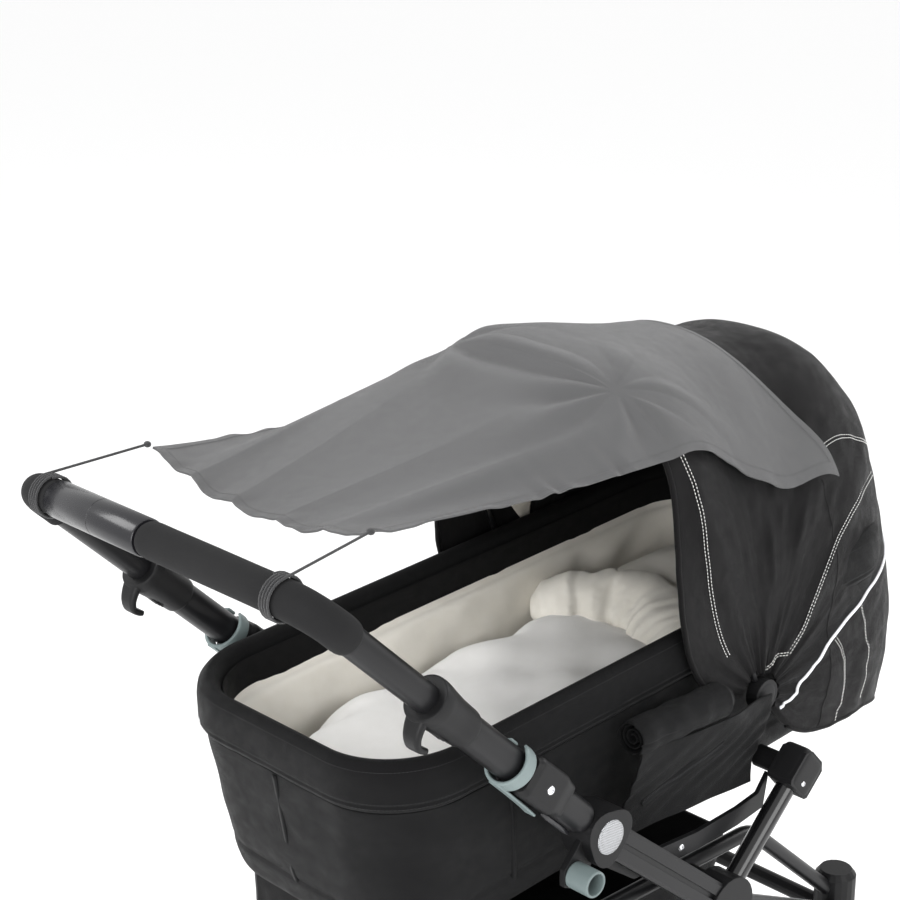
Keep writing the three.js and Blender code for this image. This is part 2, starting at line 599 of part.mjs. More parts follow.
// ---------- carrycot ----------
function addCarrycot() {
  const place = new THREE.Matrix4().makeRotationX(Math.atan(COT_TILT));
  place.setPosition(0, COT_MIDDLE_Y, COT_RIM_Z);
  const ring = (inset, level) =>
    roundedRectangle(COT_HALF_WIDTH - inset, COT_HALF_LENGTH - inset, COT_CORNER_R - inset * 0.6)
      .map(([x, y]) => v3(x, y, level).applyMatrix4(place));
  const under = -COT_RIM_HEIGHT;
  add('cot_shell', loft([
    ring(34, -COT_DEPTH), ring(26, -COT_DEPTH + 20), ring(6, under - GAP),
    ring(16, under - GAP), ring(40, -COT_DEPTH + 30), ring(44, -COT_DEPTH + 12),
  ]), 'cot_fabric');
  add('cot_rim', loopLoft([
    ring(2, under), ring(0, -30), ring(4, -8), ring(13, 0), ring(22, -7), ring(26, -30), ring(24, under),
  ]), 'cot_fabric');
  add('cot_mattress', loft([
    ring(46, -COT_DEPTH + 13), ring(42, -COT_DEPTH + 40),
    ring(38, -COT_DEPTH + 95), ring(52, -COT_DEPTH + 112),
  ]), 'lining');
}

function addSidePocket(label, side) {
  const outline = [
    [197.5, 788], [224, 788], [240, 774], [240, 746], [226, 722], [215, 700], [203, 640], [197.5, 626],
  ];
  const shape = new THREE.Shape(outline.map(([x, z]) => new THREE.Vector2(side * x, z)));
  const g = new THREE.ExtrudeGeometry(shape, { depth: POCKET_Y[1] - POCKET_Y[0], bevelEnabled: false });
  g.applyMatrix4(new THREE.Matrix4().set(1, 0, 0, 0, 0, 0, -1, POCKET_Y[1], 0, 1, 0, 0, 0, 0, 0, 1));
  add(`side_pocket_${label}`, g, 'cot_fabric');
}

// ---------- hood ----------
/** How far the hood's top line is from its pivot line, at an angle up from forwards. */
function hoodRadius(angle) {
  const k = Math.min(HOOD_RADII.length - 1, Math.max(1, HOOD_RADII.findIndex(([a]) => a >= angle)));
  const [[a0, r0], [a1, r1]] = [HOOD_RADII[k - 1], HOOD_RADII[k]];
  return r0 + ((r1 - r0) * (angle - a0)) / (a1 - a0);
}

/** A point of the rib at an angle, across from +X to -X as turn goes from 0 to 180 degrees. */
function ribPoint(angle, turn, halfWidth, top, root) {
  const [c, s] = [Math.cos(THREE.MathUtils.degToRad(turn)), Math.sin(THREE.MathUtils.degToRad(turn))];
  const x = halfWidth * Math.sign(c) * Math.abs(c) ** (2 / RIB_SQUARENESS);
  const r = root + (top - root) * Math.abs(s) ** (2 / RIB_SQUARENESS);
  const a = THREE.MathUtils.degToRad(angle);
  return v3(x, HOOD_PIVOT[0] + r * Math.cos(a), HOOD_PIVOT[1] + r * Math.sin(a));
}

const hoodPoint = (angle, turn) => ribPoint(angle, turn, HOOD_HALF_WIDTH, hoodRadius(angle), HOOD_ROOT_R);
const steps = (from, to, count) =>
  Array.from({ length: count + 1 }, (_, i) => from + ((to - from) * i) / count);

function addHood() {
  const turns = steps(0, 180, 18);
  const sweep = ([most, fade], t) => most * Math.exp(-Math.min(t, 180 - t) / fade);
  const front = (t) => HOOD_FRONT_ANGLE + sweep(HOOD_FRONT_SWEEP, t);
  const back = (t) => HOOD_BACK_ANGLE + sweep(HOOD_BACK_SWEEP, t);
  const panel = (from, to, count) =>
    steps(0, 1, count).map((v) => turns.map((t) => hoodPoint(from(t) + (to(t) - from(t)) * v, t)));
  add('hood_front', sheet(panel(front, () => HOOD_SEAM_ANGLE + 0.3, 3), 0, -HOOD_SKIN), 'hood_fabric');
  add('hood_rear', sheet(panel(() => HOOD_SEAM_ANGLE, back, 8), 0, -HOOD_SKIN), 'hood_fabric');
  const bowPoints = steps(0, 180, 22).map((t) => ribPoint(HOOD_FRONT_ANGLE - 1, t, 200.5, 428, HOOD_PIVOT_R));
  const bowEnds = (side) => ribPoint(HOOD_FRONT_ANGLE - 1, side > 0 ? 0 : 180, 200.5, 428, HOOD_PIVOT_R - 2);
  const bow = tube(smoothRoute([bowEnds(1), ...bowPoints, bowEnds(-1)]), BOW_TUBE_R, 0, 8);
  const pivotClearance = rodX(-230, 230, HOOD_PIVOT, HOOD_PIVOT_R + GAP, 24);
  add('hood_bow', cut(bow, pivotClearance), 'black_paint');
  for (const [label, side] of SIDES) {
    add(`hood_pivot_${label}`, rodX(side * 197, side * 213, HOOD_PIVOT, HOOD_PIVOT_R), 'black_plastic');
  }
}

// ---------- sun sail and its ties ----------
function addSail() {
  const across = steps(0, 1, 14);
  const edgeTurn = (v) => SAIL_EDGE_TURN[0] + (SAIL_EDGE_TURN[1] - SAIL_EDGE_TURN[0]) * v;
  const frontEdge = (u) => SAIL_FRONT_ANGLE + SAIL_FRONT_RISE * (1 - (2 * u - 1) ** 2);
  const overHood = steps(0, 1, 5).map((v) => across.map((u) => {
    const edge = edgeTurn(v);
    return hoodPoint(HOOD_FRONT_ANGLE + (frontEdge(u) - HOOD_FRONT_ANGLE) * v, edge + (180 - 2 * edge) * u);
  }));
  const rearEdge = across.map((u) => v3(SAIL_REAR_HALF_WIDTH * (1 - 2 * u), SAIL_REAR_Y, SAIL_REAR_Z));
  const freeSpan = steps(0, 1, 5).slice(0, -1).map((v) => across.map((u, i) => {
    const p = rearEdge[i].clone().lerp(overHood[0][i], v);
    p.z -= SAIL_SAG * Math.sin(Math.PI * v);
    return p;
  }));
  const cloth = sheet([...freeSpan, ...overHood], SAIL_HOOD_GAP + SAIL_THICKNESS, SAIL_HOOD_GAP);
  add('sun_sail', cloth, 'sail_fabric');
}

/** A tie from the sail's rear corner to the handle's crossbar, then wound round the grip. */
function addTie(label, side) {
  const [barY, barZ] = HANDLE_BEND;
  const tiedAt = v3(side * (SAIL_REAR_HALF_WIDTH + 2), SAIL_REAR_Y - 4, SAIL_REAR_Z + 3);
  const reach = Math.hypot(tiedAt.y - barY, tiedAt.z - barZ);
  const touch = Math.atan2(tiedAt.z - barZ, tiedAt.y - barY) + Math.acos(CORD_COIL_R / reach);
  const coil = steps(0, CORD_TURNS, CORD_TURNS * 12).map((turn) => {
    const a = touch + turn * 2 * Math.PI;
    const x = side * (CORD_COIL_X - CORD_PITCH * turn);
    return v3(x, barY + CORD_COIL_R * Math.cos(a), barZ + CORD_COIL_R * Math.sin(a));
  });
  const span = steps(0, 1, 15).slice(0, -1).map((v) => tiedAt.clone().lerp(coil[0], v));
  const points = [...span, ...coil];
  add(`tie_cord_${label}`, tube(smoothRoute(points), CORD_R, 0, 8), 'cord');
}

addHandle();
for (const [label, side] of SIDES) {
  addTelescope(label, side);
  addSideFrame(label, side);
  addBracket(label, side);
  addCaster(label, side);
  addWheel(`rear_wheel_${label}`, side * REAR_WHEEL_X, REAR_AXLE, REAR_WHEEL_R);
  addSidePocket(label, side);
  addTie(label, side);
}
addAxles();
addBasket();
addCarrycot();
addHood();
addSail();

export default group;
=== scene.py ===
"""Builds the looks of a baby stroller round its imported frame.

The stroller has a carrycot with cream bedding, a sewn hood, a sun sail tied to
the push handle, a telescopic crossed side frame, a basket and four wheels.
Lengths are in metres. +Y is the way it is pushed, +X its right-hand side.
"""

import json
import logging
import math
from dataclasses import dataclass
from enum import Enum
from functools import cache
from typing import Optional, Sequence

import bpy
import numpy as np
from mathutils import Vector
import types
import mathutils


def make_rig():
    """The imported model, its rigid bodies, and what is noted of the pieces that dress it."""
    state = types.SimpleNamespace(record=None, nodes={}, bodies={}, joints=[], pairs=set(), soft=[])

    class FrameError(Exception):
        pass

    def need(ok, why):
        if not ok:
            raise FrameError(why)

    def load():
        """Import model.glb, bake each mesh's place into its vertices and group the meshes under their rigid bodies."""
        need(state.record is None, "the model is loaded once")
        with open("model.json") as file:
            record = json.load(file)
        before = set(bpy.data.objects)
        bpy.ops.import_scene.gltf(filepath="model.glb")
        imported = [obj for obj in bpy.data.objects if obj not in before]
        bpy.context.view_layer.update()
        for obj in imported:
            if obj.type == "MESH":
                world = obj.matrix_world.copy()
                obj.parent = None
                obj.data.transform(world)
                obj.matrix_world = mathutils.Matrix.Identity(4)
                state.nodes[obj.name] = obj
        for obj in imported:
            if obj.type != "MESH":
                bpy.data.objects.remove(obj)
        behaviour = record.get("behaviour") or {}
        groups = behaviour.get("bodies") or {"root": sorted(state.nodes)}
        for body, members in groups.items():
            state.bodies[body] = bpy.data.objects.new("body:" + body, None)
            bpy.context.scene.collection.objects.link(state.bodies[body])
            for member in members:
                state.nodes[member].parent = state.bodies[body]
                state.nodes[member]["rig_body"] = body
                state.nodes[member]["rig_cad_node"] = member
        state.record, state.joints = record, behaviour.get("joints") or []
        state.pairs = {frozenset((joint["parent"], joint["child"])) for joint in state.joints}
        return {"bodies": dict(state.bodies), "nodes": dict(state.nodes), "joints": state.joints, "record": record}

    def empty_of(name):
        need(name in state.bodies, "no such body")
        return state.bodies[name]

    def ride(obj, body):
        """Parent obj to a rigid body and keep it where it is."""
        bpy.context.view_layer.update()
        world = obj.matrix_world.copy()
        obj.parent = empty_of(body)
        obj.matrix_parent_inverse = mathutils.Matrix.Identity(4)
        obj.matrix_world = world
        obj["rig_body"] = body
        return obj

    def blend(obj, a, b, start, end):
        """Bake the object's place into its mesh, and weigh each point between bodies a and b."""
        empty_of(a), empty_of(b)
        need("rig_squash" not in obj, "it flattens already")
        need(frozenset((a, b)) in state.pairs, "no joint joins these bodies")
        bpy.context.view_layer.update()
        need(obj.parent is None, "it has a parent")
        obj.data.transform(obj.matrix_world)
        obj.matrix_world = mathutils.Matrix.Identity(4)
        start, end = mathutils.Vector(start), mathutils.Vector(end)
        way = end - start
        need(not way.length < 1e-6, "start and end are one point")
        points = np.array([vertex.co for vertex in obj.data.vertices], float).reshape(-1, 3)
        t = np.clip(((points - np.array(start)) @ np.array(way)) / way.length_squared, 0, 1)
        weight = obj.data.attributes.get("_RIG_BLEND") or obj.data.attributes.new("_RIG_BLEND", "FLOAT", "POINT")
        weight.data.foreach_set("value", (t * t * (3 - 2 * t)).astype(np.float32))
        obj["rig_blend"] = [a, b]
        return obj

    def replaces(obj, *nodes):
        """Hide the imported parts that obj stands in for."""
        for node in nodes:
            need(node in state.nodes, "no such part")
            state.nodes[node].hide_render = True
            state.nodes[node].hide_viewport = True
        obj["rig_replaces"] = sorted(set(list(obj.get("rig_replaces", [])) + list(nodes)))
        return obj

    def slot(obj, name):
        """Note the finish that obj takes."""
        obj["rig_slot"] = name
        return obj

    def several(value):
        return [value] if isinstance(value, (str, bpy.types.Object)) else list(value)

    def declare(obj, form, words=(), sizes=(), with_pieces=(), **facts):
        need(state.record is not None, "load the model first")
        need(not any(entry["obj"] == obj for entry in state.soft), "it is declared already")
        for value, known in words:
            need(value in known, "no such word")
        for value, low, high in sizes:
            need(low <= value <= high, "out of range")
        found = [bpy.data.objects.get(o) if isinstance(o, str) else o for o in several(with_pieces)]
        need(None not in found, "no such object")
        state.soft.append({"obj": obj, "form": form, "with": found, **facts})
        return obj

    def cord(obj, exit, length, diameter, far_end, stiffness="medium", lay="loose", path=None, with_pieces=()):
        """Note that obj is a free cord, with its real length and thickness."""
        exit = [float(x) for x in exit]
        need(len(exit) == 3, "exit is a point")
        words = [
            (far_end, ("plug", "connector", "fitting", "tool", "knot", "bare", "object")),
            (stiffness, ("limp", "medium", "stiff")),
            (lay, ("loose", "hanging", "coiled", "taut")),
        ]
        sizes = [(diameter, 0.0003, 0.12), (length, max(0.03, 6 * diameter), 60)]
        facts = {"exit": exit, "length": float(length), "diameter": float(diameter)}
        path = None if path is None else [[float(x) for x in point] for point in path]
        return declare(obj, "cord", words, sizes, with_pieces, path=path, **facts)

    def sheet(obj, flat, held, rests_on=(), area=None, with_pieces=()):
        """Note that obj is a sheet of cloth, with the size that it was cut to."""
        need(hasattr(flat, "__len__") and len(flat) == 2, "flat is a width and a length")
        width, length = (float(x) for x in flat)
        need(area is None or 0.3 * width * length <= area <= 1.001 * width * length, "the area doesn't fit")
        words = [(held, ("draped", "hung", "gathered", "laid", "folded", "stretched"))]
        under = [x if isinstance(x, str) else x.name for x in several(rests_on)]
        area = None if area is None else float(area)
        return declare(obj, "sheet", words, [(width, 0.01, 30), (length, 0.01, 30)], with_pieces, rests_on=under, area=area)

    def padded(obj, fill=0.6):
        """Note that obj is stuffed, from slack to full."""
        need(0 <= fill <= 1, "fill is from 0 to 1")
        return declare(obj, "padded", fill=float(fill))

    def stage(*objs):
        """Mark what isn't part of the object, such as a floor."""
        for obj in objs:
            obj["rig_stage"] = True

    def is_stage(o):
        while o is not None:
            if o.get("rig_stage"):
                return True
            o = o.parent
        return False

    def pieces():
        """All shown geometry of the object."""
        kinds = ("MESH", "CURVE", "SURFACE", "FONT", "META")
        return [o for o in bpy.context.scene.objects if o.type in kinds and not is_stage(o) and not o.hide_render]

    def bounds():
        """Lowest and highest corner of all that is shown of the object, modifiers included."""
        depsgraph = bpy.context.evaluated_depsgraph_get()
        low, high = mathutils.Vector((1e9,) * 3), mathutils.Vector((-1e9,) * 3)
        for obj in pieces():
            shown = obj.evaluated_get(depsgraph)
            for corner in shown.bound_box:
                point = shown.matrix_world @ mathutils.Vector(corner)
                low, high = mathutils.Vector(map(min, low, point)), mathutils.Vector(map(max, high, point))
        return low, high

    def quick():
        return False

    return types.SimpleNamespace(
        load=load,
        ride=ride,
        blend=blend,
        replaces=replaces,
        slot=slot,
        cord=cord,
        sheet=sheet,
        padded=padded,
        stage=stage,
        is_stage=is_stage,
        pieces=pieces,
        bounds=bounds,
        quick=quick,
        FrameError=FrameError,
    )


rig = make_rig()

logging.basicConfig(level=logging.INFO, format="%(message)s")
log = logging.getLogger("stroller")
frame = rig.load()
CAD_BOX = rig.bounds()

Array = np.ndarray
Piece = bpy.types.Object


class Side(Enum):
    """The two sides of the stroller and the sign of their X."""

    NEAR = 1
    FAR = -1

    @property
    def label(self) -> str:
        """The side's name at the end of node names."""
        return self.name.lower()


SIDES = (Side.NEAR, Side.FAR)


# ---------- numbers and curves ----------
def unit(vectors: Array) -> Array:
    """Vectors divided by their lengths."""
    return vectors / np.maximum(np.linalg.norm(vectors, axis=-1, keepdims=True), 1e-12)


def ease(x: Array) -> Array:
    """A smooth step: 3x² - 2x³, held to 0 and 1 outside."""
    x = np.clip(x, 0.0, 1.0)
    return x * x * (3.0 - 2.0 * x)


def bell(x: Array, middle: float, width: float) -> Array:
    """A bell curve: e to the minus square of the distance over the width."""
    return np.exp(-(((x - middle) / width) ** 2))


def ripple(x: Array, y: Array, seed: int = 0) -> Array:
    """Smooth noise from -1 to 1: seeded values on whole numbers, eased between them."""
    table = np.random.default_rng(seed).uniform(-1.0, 1.0, (64, 64))
    xi, yi = np.floor(x).astype(int), np.floor(y).astype(int)
    fx, fy = ease(x - xi), ease(y - yi)

    def corner(i: Array, j: Array) -> Array:
        """The seeded value at a whole-number corner."""
        return table[i % 64, j % 64]

    low = corner(xi, yi) * (1 - fx) + corner(xi + 1, yi) * fx
    high = corner(xi, yi + 1) * (1 - fx) + corner(xi + 1, yi + 1) * fx
    return low * (1 - fy) + high * fy


def spline(points: Sequence[Sequence[float]], count: int, closed: bool = False) -> Array:
    """A Catmull-Rom curve through the points, evenly spaced in its parameter.

    Args:
        points: The points it passes, of any dimension.
        count: How many points come back.
        closed: Whether the last point joins the first.

    Returns:
        A (count, dimension) array.
    """
    p = np.asarray(points, float)
    n = len(p)
    t = np.linspace(0.0, n if closed else n - 1, count, endpoint=not closed)
    i = np.minimum(np.floor(t).astype(int), n - 1 if closed else n - 2)
    f = (t - i)[:, None]

    def at(k: Array) -> Array:
        """The point k, wrapped round or held at the ends."""
        return p[k % n] if closed else p[np.clip(k, 0, n - 1)]

    a, b, c, d = at(i - 1), at(i), at(i + 1), at(i + 2)
    return 0.5 * (2 * b + (c - a) * f + (2 * a - 5 * b + 4 * c - d) * f**2 + (3 * b - a - 3 * c + d) * f**3)


def bent_path(points: Sequence[Sequence[float]], radius: float, per_bend: int = 14) -> Array:
    """Straight runs with a round bend of one radius at each inner point."""
    p = np.asarray(points, float)
    out = [p[:1]]
    for i in range(1, len(p) - 1):
        enter, leave = unit(p[i] - p[i - 1]), unit(p[i + 1] - p[i])
        turn = math.acos(float(np.clip(enter @ leave, -1, 1)))
        inward = unit(leave - enter * float(enter @ leave))
        centre = p[i] - enter * radius * math.tan(turn / 2) + inward * radius
        a = np.linspace(0, turn, per_bend)[:, None]
        out.append(centre - inward * radius * np.cos(a) + enter * radius * np.sin(a))
    return np.concatenate([*out, p[-1:]])


def resampled(path: Array, count: int) -> Array:
    """The same path with points at equal distances along it."""
    s = np.concatenate([[0.0], np.cumsum(np.linalg.norm(np.diff(path, axis=0), axis=1))])
    t = np.linspace(0.0, s[-1], count)
    return np.stack([np.interp(t, s, path[:, k]) for k in range(path.shape[1])], axis=1)


def rounded_ring(half_x: float, half_y: float, radius: float, count: int) -> tuple[Array, Array]:
    """Points along a rectangle's outline with round corners, and the outward directions there.

    The points are evenly spaced, anticlockwise from the middle of the +X side: along
    each straight side at a steady pace, and round each corner on a quarter circle.
    """
    lx, ly, arc = half_x - radius, half_y - radius, radius * math.pi / 2
    lengths = np.array([ly, arc, 2 * lx, arc, 2 * ly, arc, 2 * lx, arc, ly])
    starts = np.concatenate([[0.0], np.cumsum(lengths)])
    s = np.arange(count) / count * starts[-1]
    k = np.clip(np.searchsorted(starts, s, side="right") - 1, 0, 8)
    d = s - starts[k]
    first = np.array([(half_x, 0), (lx, ly), (lx, half_y), (-lx, ly), (-half_x, ly), (-lx, -ly),
                      (-lx, -half_y), (lx, -ly), (half_x, -ly)], float)
    heading = np.array([(0, 1), (0, 0), (-1, 0), (0, 0), (0, -1), (0, 0), (1, 0), (0, 0), (0, 1)], float)
    base_turn = np.array([0, 0, 90, 90, 180, 180, 270, 270, 360]) * math.pi / 180
    curved = (k % 2 == 1)
    turn = base_turn[k] + np.where(curved, d / radius, 0.0)
    normal = np.stack([np.cos(turn), np.sin(turn)], axis=1)
    straight = first[k] + heading[k] * d[:, None]
    return np.where(curved[:, None], first[k] + radius * normal, straight), normal


# ---------- meshes ----------
def grid_faces(rows: int, cols: int, wrap_rows: bool, wrap_cols: bool) -> tuple[Array, Array]:
    """Four-cornered faces over a grid of points, with each corner's place before wrapping."""
    i = np.arange(rows if wrap_rows else rows - 1)[:, None]
    j = np.arange(cols if wrap_cols else cols - 1)[None, :]
    i, j = np.broadcast_arrays(i, j)
    ii = np.stack([i, i, i + 1, i + 1], -1).reshape(-1, 4)
    jj = np.stack([j, j + 1, j + 1, j], -1).reshape(-1, 4)
    return (ii % rows) * cols + jj % cols, np.stack([ii, jj], -1)


def mesh_piece(name: str, points: Array, faces: list[list[int]], finish: "Finish",
               uv: Optional[Array] = None, sharp: Optional[float] = None) -> Piece:
    """A mesh object with its faces outward, smooth, and dressed in a finish.

    Args:
        name: The piece's name.
        points: Its vertices.
        faces: Its faces, each a list of vertex numbers.
        finish: What it is made of.
        uv: One texture point for each face corner, in the faces' order.
        sharp: Edges that turn by more than this many degrees stay crisp.

    Returns:
        The new object, at the origin.
    """
    outward = signed_volume(points, faces) >= 0
    if not outward:
        faces = [f[::-1] for f in faces]
    mesh = bpy.data.meshes.new(name)
    mesh.from_pydata(np.asarray(points, float), [], faces)
    if uv is not None:
        layer = mesh.uv_layers.new(name="Cloth")
        sizes = np.array([len(f) for f in faces])
        flat = np.asarray(uv, float)
        if not outward:
            ends = np.cumsum(sizes)
            order = np.concatenate([np.arange(e - 1, e - s - 1, -1) for e, s in zip(ends, sizes)])
            flat = flat[order]
        layer.data.foreach_set("uv", flat.astype(np.float32).ravel())
    mesh.polygons.foreach_set("use_smooth", np.ones(len(faces), bool))
    if sharp is not None:
        mesh.set_sharp_from_angle(angle=math.radians(sharp))
    mesh.update()
    piece = bpy.data.objects.new(name, mesh)
    bpy.context.scene.collection.objects.link(piece)
    finish.dress(piece)
    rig.slot(piece, finish.slot)
    log.info("piece %s", name)
    return piece


def signed_volume(points: Array, faces: list[list[int]]) -> float:
    """Six times the volume inside closed faces, below 0 where they face inward: each is cut into a fan."""
    total = 0.0
    for size in sorted({len(f) for f in faces}):
        same = np.array([f for f in faces if len(f) == size])
        for k in range(1, size - 1):
            a, b, c = (points[same[:, n]] for n in (0, k, k + 1))
            total += float(np.sum(a * np.cross(b, c)))
    return total


def capped(rings: Array) -> tuple[Array, list[list[int]]]:
    """Points and faces of rings joined one to the next, with a flat cap at each end."""
    m, n, _ = rings.shape
    quads, _ = grid_faces(m, n, False, True)
    caps = [list(range(n - 1, -1, -1)), list(range((m - 1) * n, m * n))]
    return rings.reshape(-1, 3), quads.tolist() + caps


def measured_uv(grid: Array, wrap_rows: bool, wrap_cols: bool) -> Array:
    """Texture points in metres for a grid: mean distances run up along its columns and rows."""
    across = np.linalg.norm(np.diff(grid, axis=1), axis=2).mean(0)
    along = np.linalg.norm(np.diff(grid, axis=0), axis=2).mean(1)
    if wrap_cols:
        across = np.append(across, across.mean())
    if wrap_rows:
        along = np.append(along, along.mean())
    u = np.concatenate([[0.0], np.cumsum(across)])
    v = np.concatenate([[0.0], np.cumsum(along)])
    return np.stack(np.meshgrid(u, v), axis=-1)


def ring_piece(name: str, rings: Array, finish: "Finish", wrap_rows: bool = False,
               sharp: Optional[float] = None) -> Piece:
    """A closed piece from rings of points, joined one to the next and closed at both ends.

    Args:
        name: The piece's name.
        rings: A (rings, points in a ring, 3) array.
        finish: What it is made of.
        wrap_rows: Whether the last ring joins the first, as on a hoop.
        sharp: Edges that turn by more than this many degrees stay crisp.

    Returns:
        The new object.
    """
    m, n, _ = rings.shape
    quads, places = grid_faces(m, n, wrap_rows, True)
    marks = measured_uv(rings, wrap_rows, True)
    uv = [marks[places[..., 0], places[..., 1]].reshape(-1, 2)]
    faces = quads.tolist()
    points = rings.reshape(-1, 3)
    if not wrap_rows:
        ends = np.stack([rings[0].mean(0), rings[-1].mean(0)])
        points = np.concatenate([points, ends])
        j = np.arange(n)
        first = np.stack([(j + 1) % n, j, np.full(n, m * n)], 1)
        last = np.stack([(m - 1) * n + j, (m - 1) * n + (j + 1) % n, np.full(n, m * n + 1)], 1)
        faces += first.tolist() + last.tolist()
        uv.append(np.tile(marks[0, 0], (6 * n, 1)))
    return mesh_piece(name, points, faces, finish, np.concatenate(uv), sharp)


def slab_piece(name: str, outer: Array, inner: Array, finish: "Finish",
               sharp: Optional[float] = None) -> Piece:
    """A closed sheet between an outer and an inner grid of points, walled round its edge."""
    rings = np.stack([outer, inner])
    _, m, n, _ = rings.shape
    quads, places = grid_faces(m, n, False, False)
    marks = measured_uv(outer, False, False)
    corner_uv = marks[places[..., 0], places[..., 1]].reshape(-1, 2)
    under = quads[:, ::-1] + m * n
    edge = np.concatenate([np.arange(n - 1), np.arange(m - 1) * n + n - 1,
                           (m - 1) * n + np.arange(n - 1, 0, -1), np.arange(m - 1, 0, -1) * n])
    after = np.roll(edge, -1)
    walls = np.stack([after, edge, edge + m * n, after + m * n], 1)
    flat = marks.reshape(-1, 2)
    uv = np.concatenate([corner_uv, flat[(under - m * n)].reshape(-1, 2),
                         flat[walls % (m * n)].reshape(-1, 2)])
    return mesh_piece(name, rings.reshape(-1, 3), quads.tolist() + under.tolist() + walls.tolist(), finish,
                      uv, sharp)


def swept_rings(path: Array, section: Array, reference: Sequence[float],
                scale: Optional[Array] = None) -> Array:
    """A flat section carried along a path.

    At each path point the section's second axis is the reference with its part along
    the path taken away, and its first axis is square to both.

    Args:
        path: The (n, 3) points it follows.
        section: The (k, 2) outline of the section.
        reference: A direction that is never along the path.
        scale: The section's size at each path point, 1 where left out.

    Returns:
        An (n, k, 3) array of rings.
    """
    tangent = unit(np.gradient(path, axis=0))
    ref = np.asarray(reference, float)
    up = unit(ref - tangent * (tangent @ ref)[:, None])
    out = np.cross(up, tangent)
    size = np.ones(len(path)) if scale is None else scale
    return path[:, None] + size[:, None, None] * (
        section[None, :, :1] * out[:, None] + section[None, :, 1:] * up[:, None])


def circle(radius: float, sides: int) -> Array:
    """Points round a circle."""
    a = np.arange(sides) / sides * 2 * math.pi
    return radius * np.stack([np.cos(a), np.sin(a)], axis=1)


def round_box(half_x: float, half_y: float, radius: float, count: int = 40) -> Array:
    """A rectangle's outline with round corners, as a section."""
    return rounded_ring(half_x, half_y, radius, count)[0]


def tube_piece(name: str, path: Array, radius: float, finish: "Finish", reference: Sequence[float],
               sides: int = 32, lip: float = 0.0015) -> Piece:
    """A round bar along a path with softly rounded ends."""
    ends = unit(np.stack([path[1] - path[0], path[-2] - path[-1]]))
    steps = lip * (1 - np.cos(np.linspace(0, math.pi / 2, 4)))
    start = path[0] + ends[0] * steps[:, None]
    stop = path[-1] + ends[1] * steps[::-1, None]
    full = np.concatenate([start, path[1:-1], stop])
    shrink = np.sin(np.linspace(0, math.pi / 2, 4)) * lip
    scale = np.ones(len(full))
    scale[:4] = 1 - (lip - shrink) / radius
    scale[-4:] = (1 - (lip - shrink) / radius)[::-1]
    return ring_piece(name, swept_rings(full, circle(radius, sides), reference, scale), finish)


def turned_piece(name: str, profile: Sequence[Sequence[float]], start: Sequence[float], axis: Sequence[float],
                 finish: "Finish", sides: int = 48, sharp: float = 40.0) -> Piece:
    """A profile of (distance along the axis, radius) turned about an axis, closed at both ends."""
    p = np.asarray(profile, float)
    direction = unit(np.asarray(axis, float))
    helper = np.array([1.0, 0, 0]) if abs(direction[0]) < 0.8 else np.array([0, 0, 1.0])
    e1 = unit(np.cross(direction, helper))
    e2 = np.cross(direction, e1)
    ring = circle(1.0, sides)
    rings = (np.asarray(start, float) + p[:, None, :1] * direction
             + p[:, None, 1:] * (ring[None, :, :1] * e1 + ring[None, :, 1:] * e2))
    return ring_piece(name, rings, finish, sharp=sharp)


def soft_block(name: str, centre: Sequence[float], axes: Sequence[Sequence[float]], half: Sequence[float],
               finish: "Finish", square: float = 5.0, detail: int = 40) -> Piece:
    """A block with round edges: a ball whose sines and cosines are raised to 2 over its squareness."""
    a = np.linspace(-math.pi / 2 + 0.02, math.pi / 2 - 0.02, detail)[:, None]
    b = (np.arange(2 * detail) / detail * math.pi)[None, :]

    def squared(x: Array) -> Array:
        """A sine or cosine drawn out towards a block's sides."""
        return np.sign(x) * np.abs(x) ** (2 / square)

    local = np.stack([squared(np.cos(a)) * squared(np.cos(b)), squared(np.cos(a)) * squared(np.sin(b)),
                      squared(np.sin(a)) * np.ones_like(b)], -1) * np.asarray(half, float)
    return ring_piece(name, np.asarray(centre, float) + local @ np.asarray(axes, float), finish)


def joined(name: str, finish: "Finish", parts: Sequence[tuple[Array, list[list[int]]]]) -> Piece:
    """One piece from several separate closed meshes of one finish."""
    points, faces, base = [], [], 0
    for part_points, part_faces in parts:
        points.append(part_points)
        faces += [[base + k for k in f] for f in part_faces]
        base += len(part_points)
    return mesh_piece(name, np.concatenate(points), faces, finish)


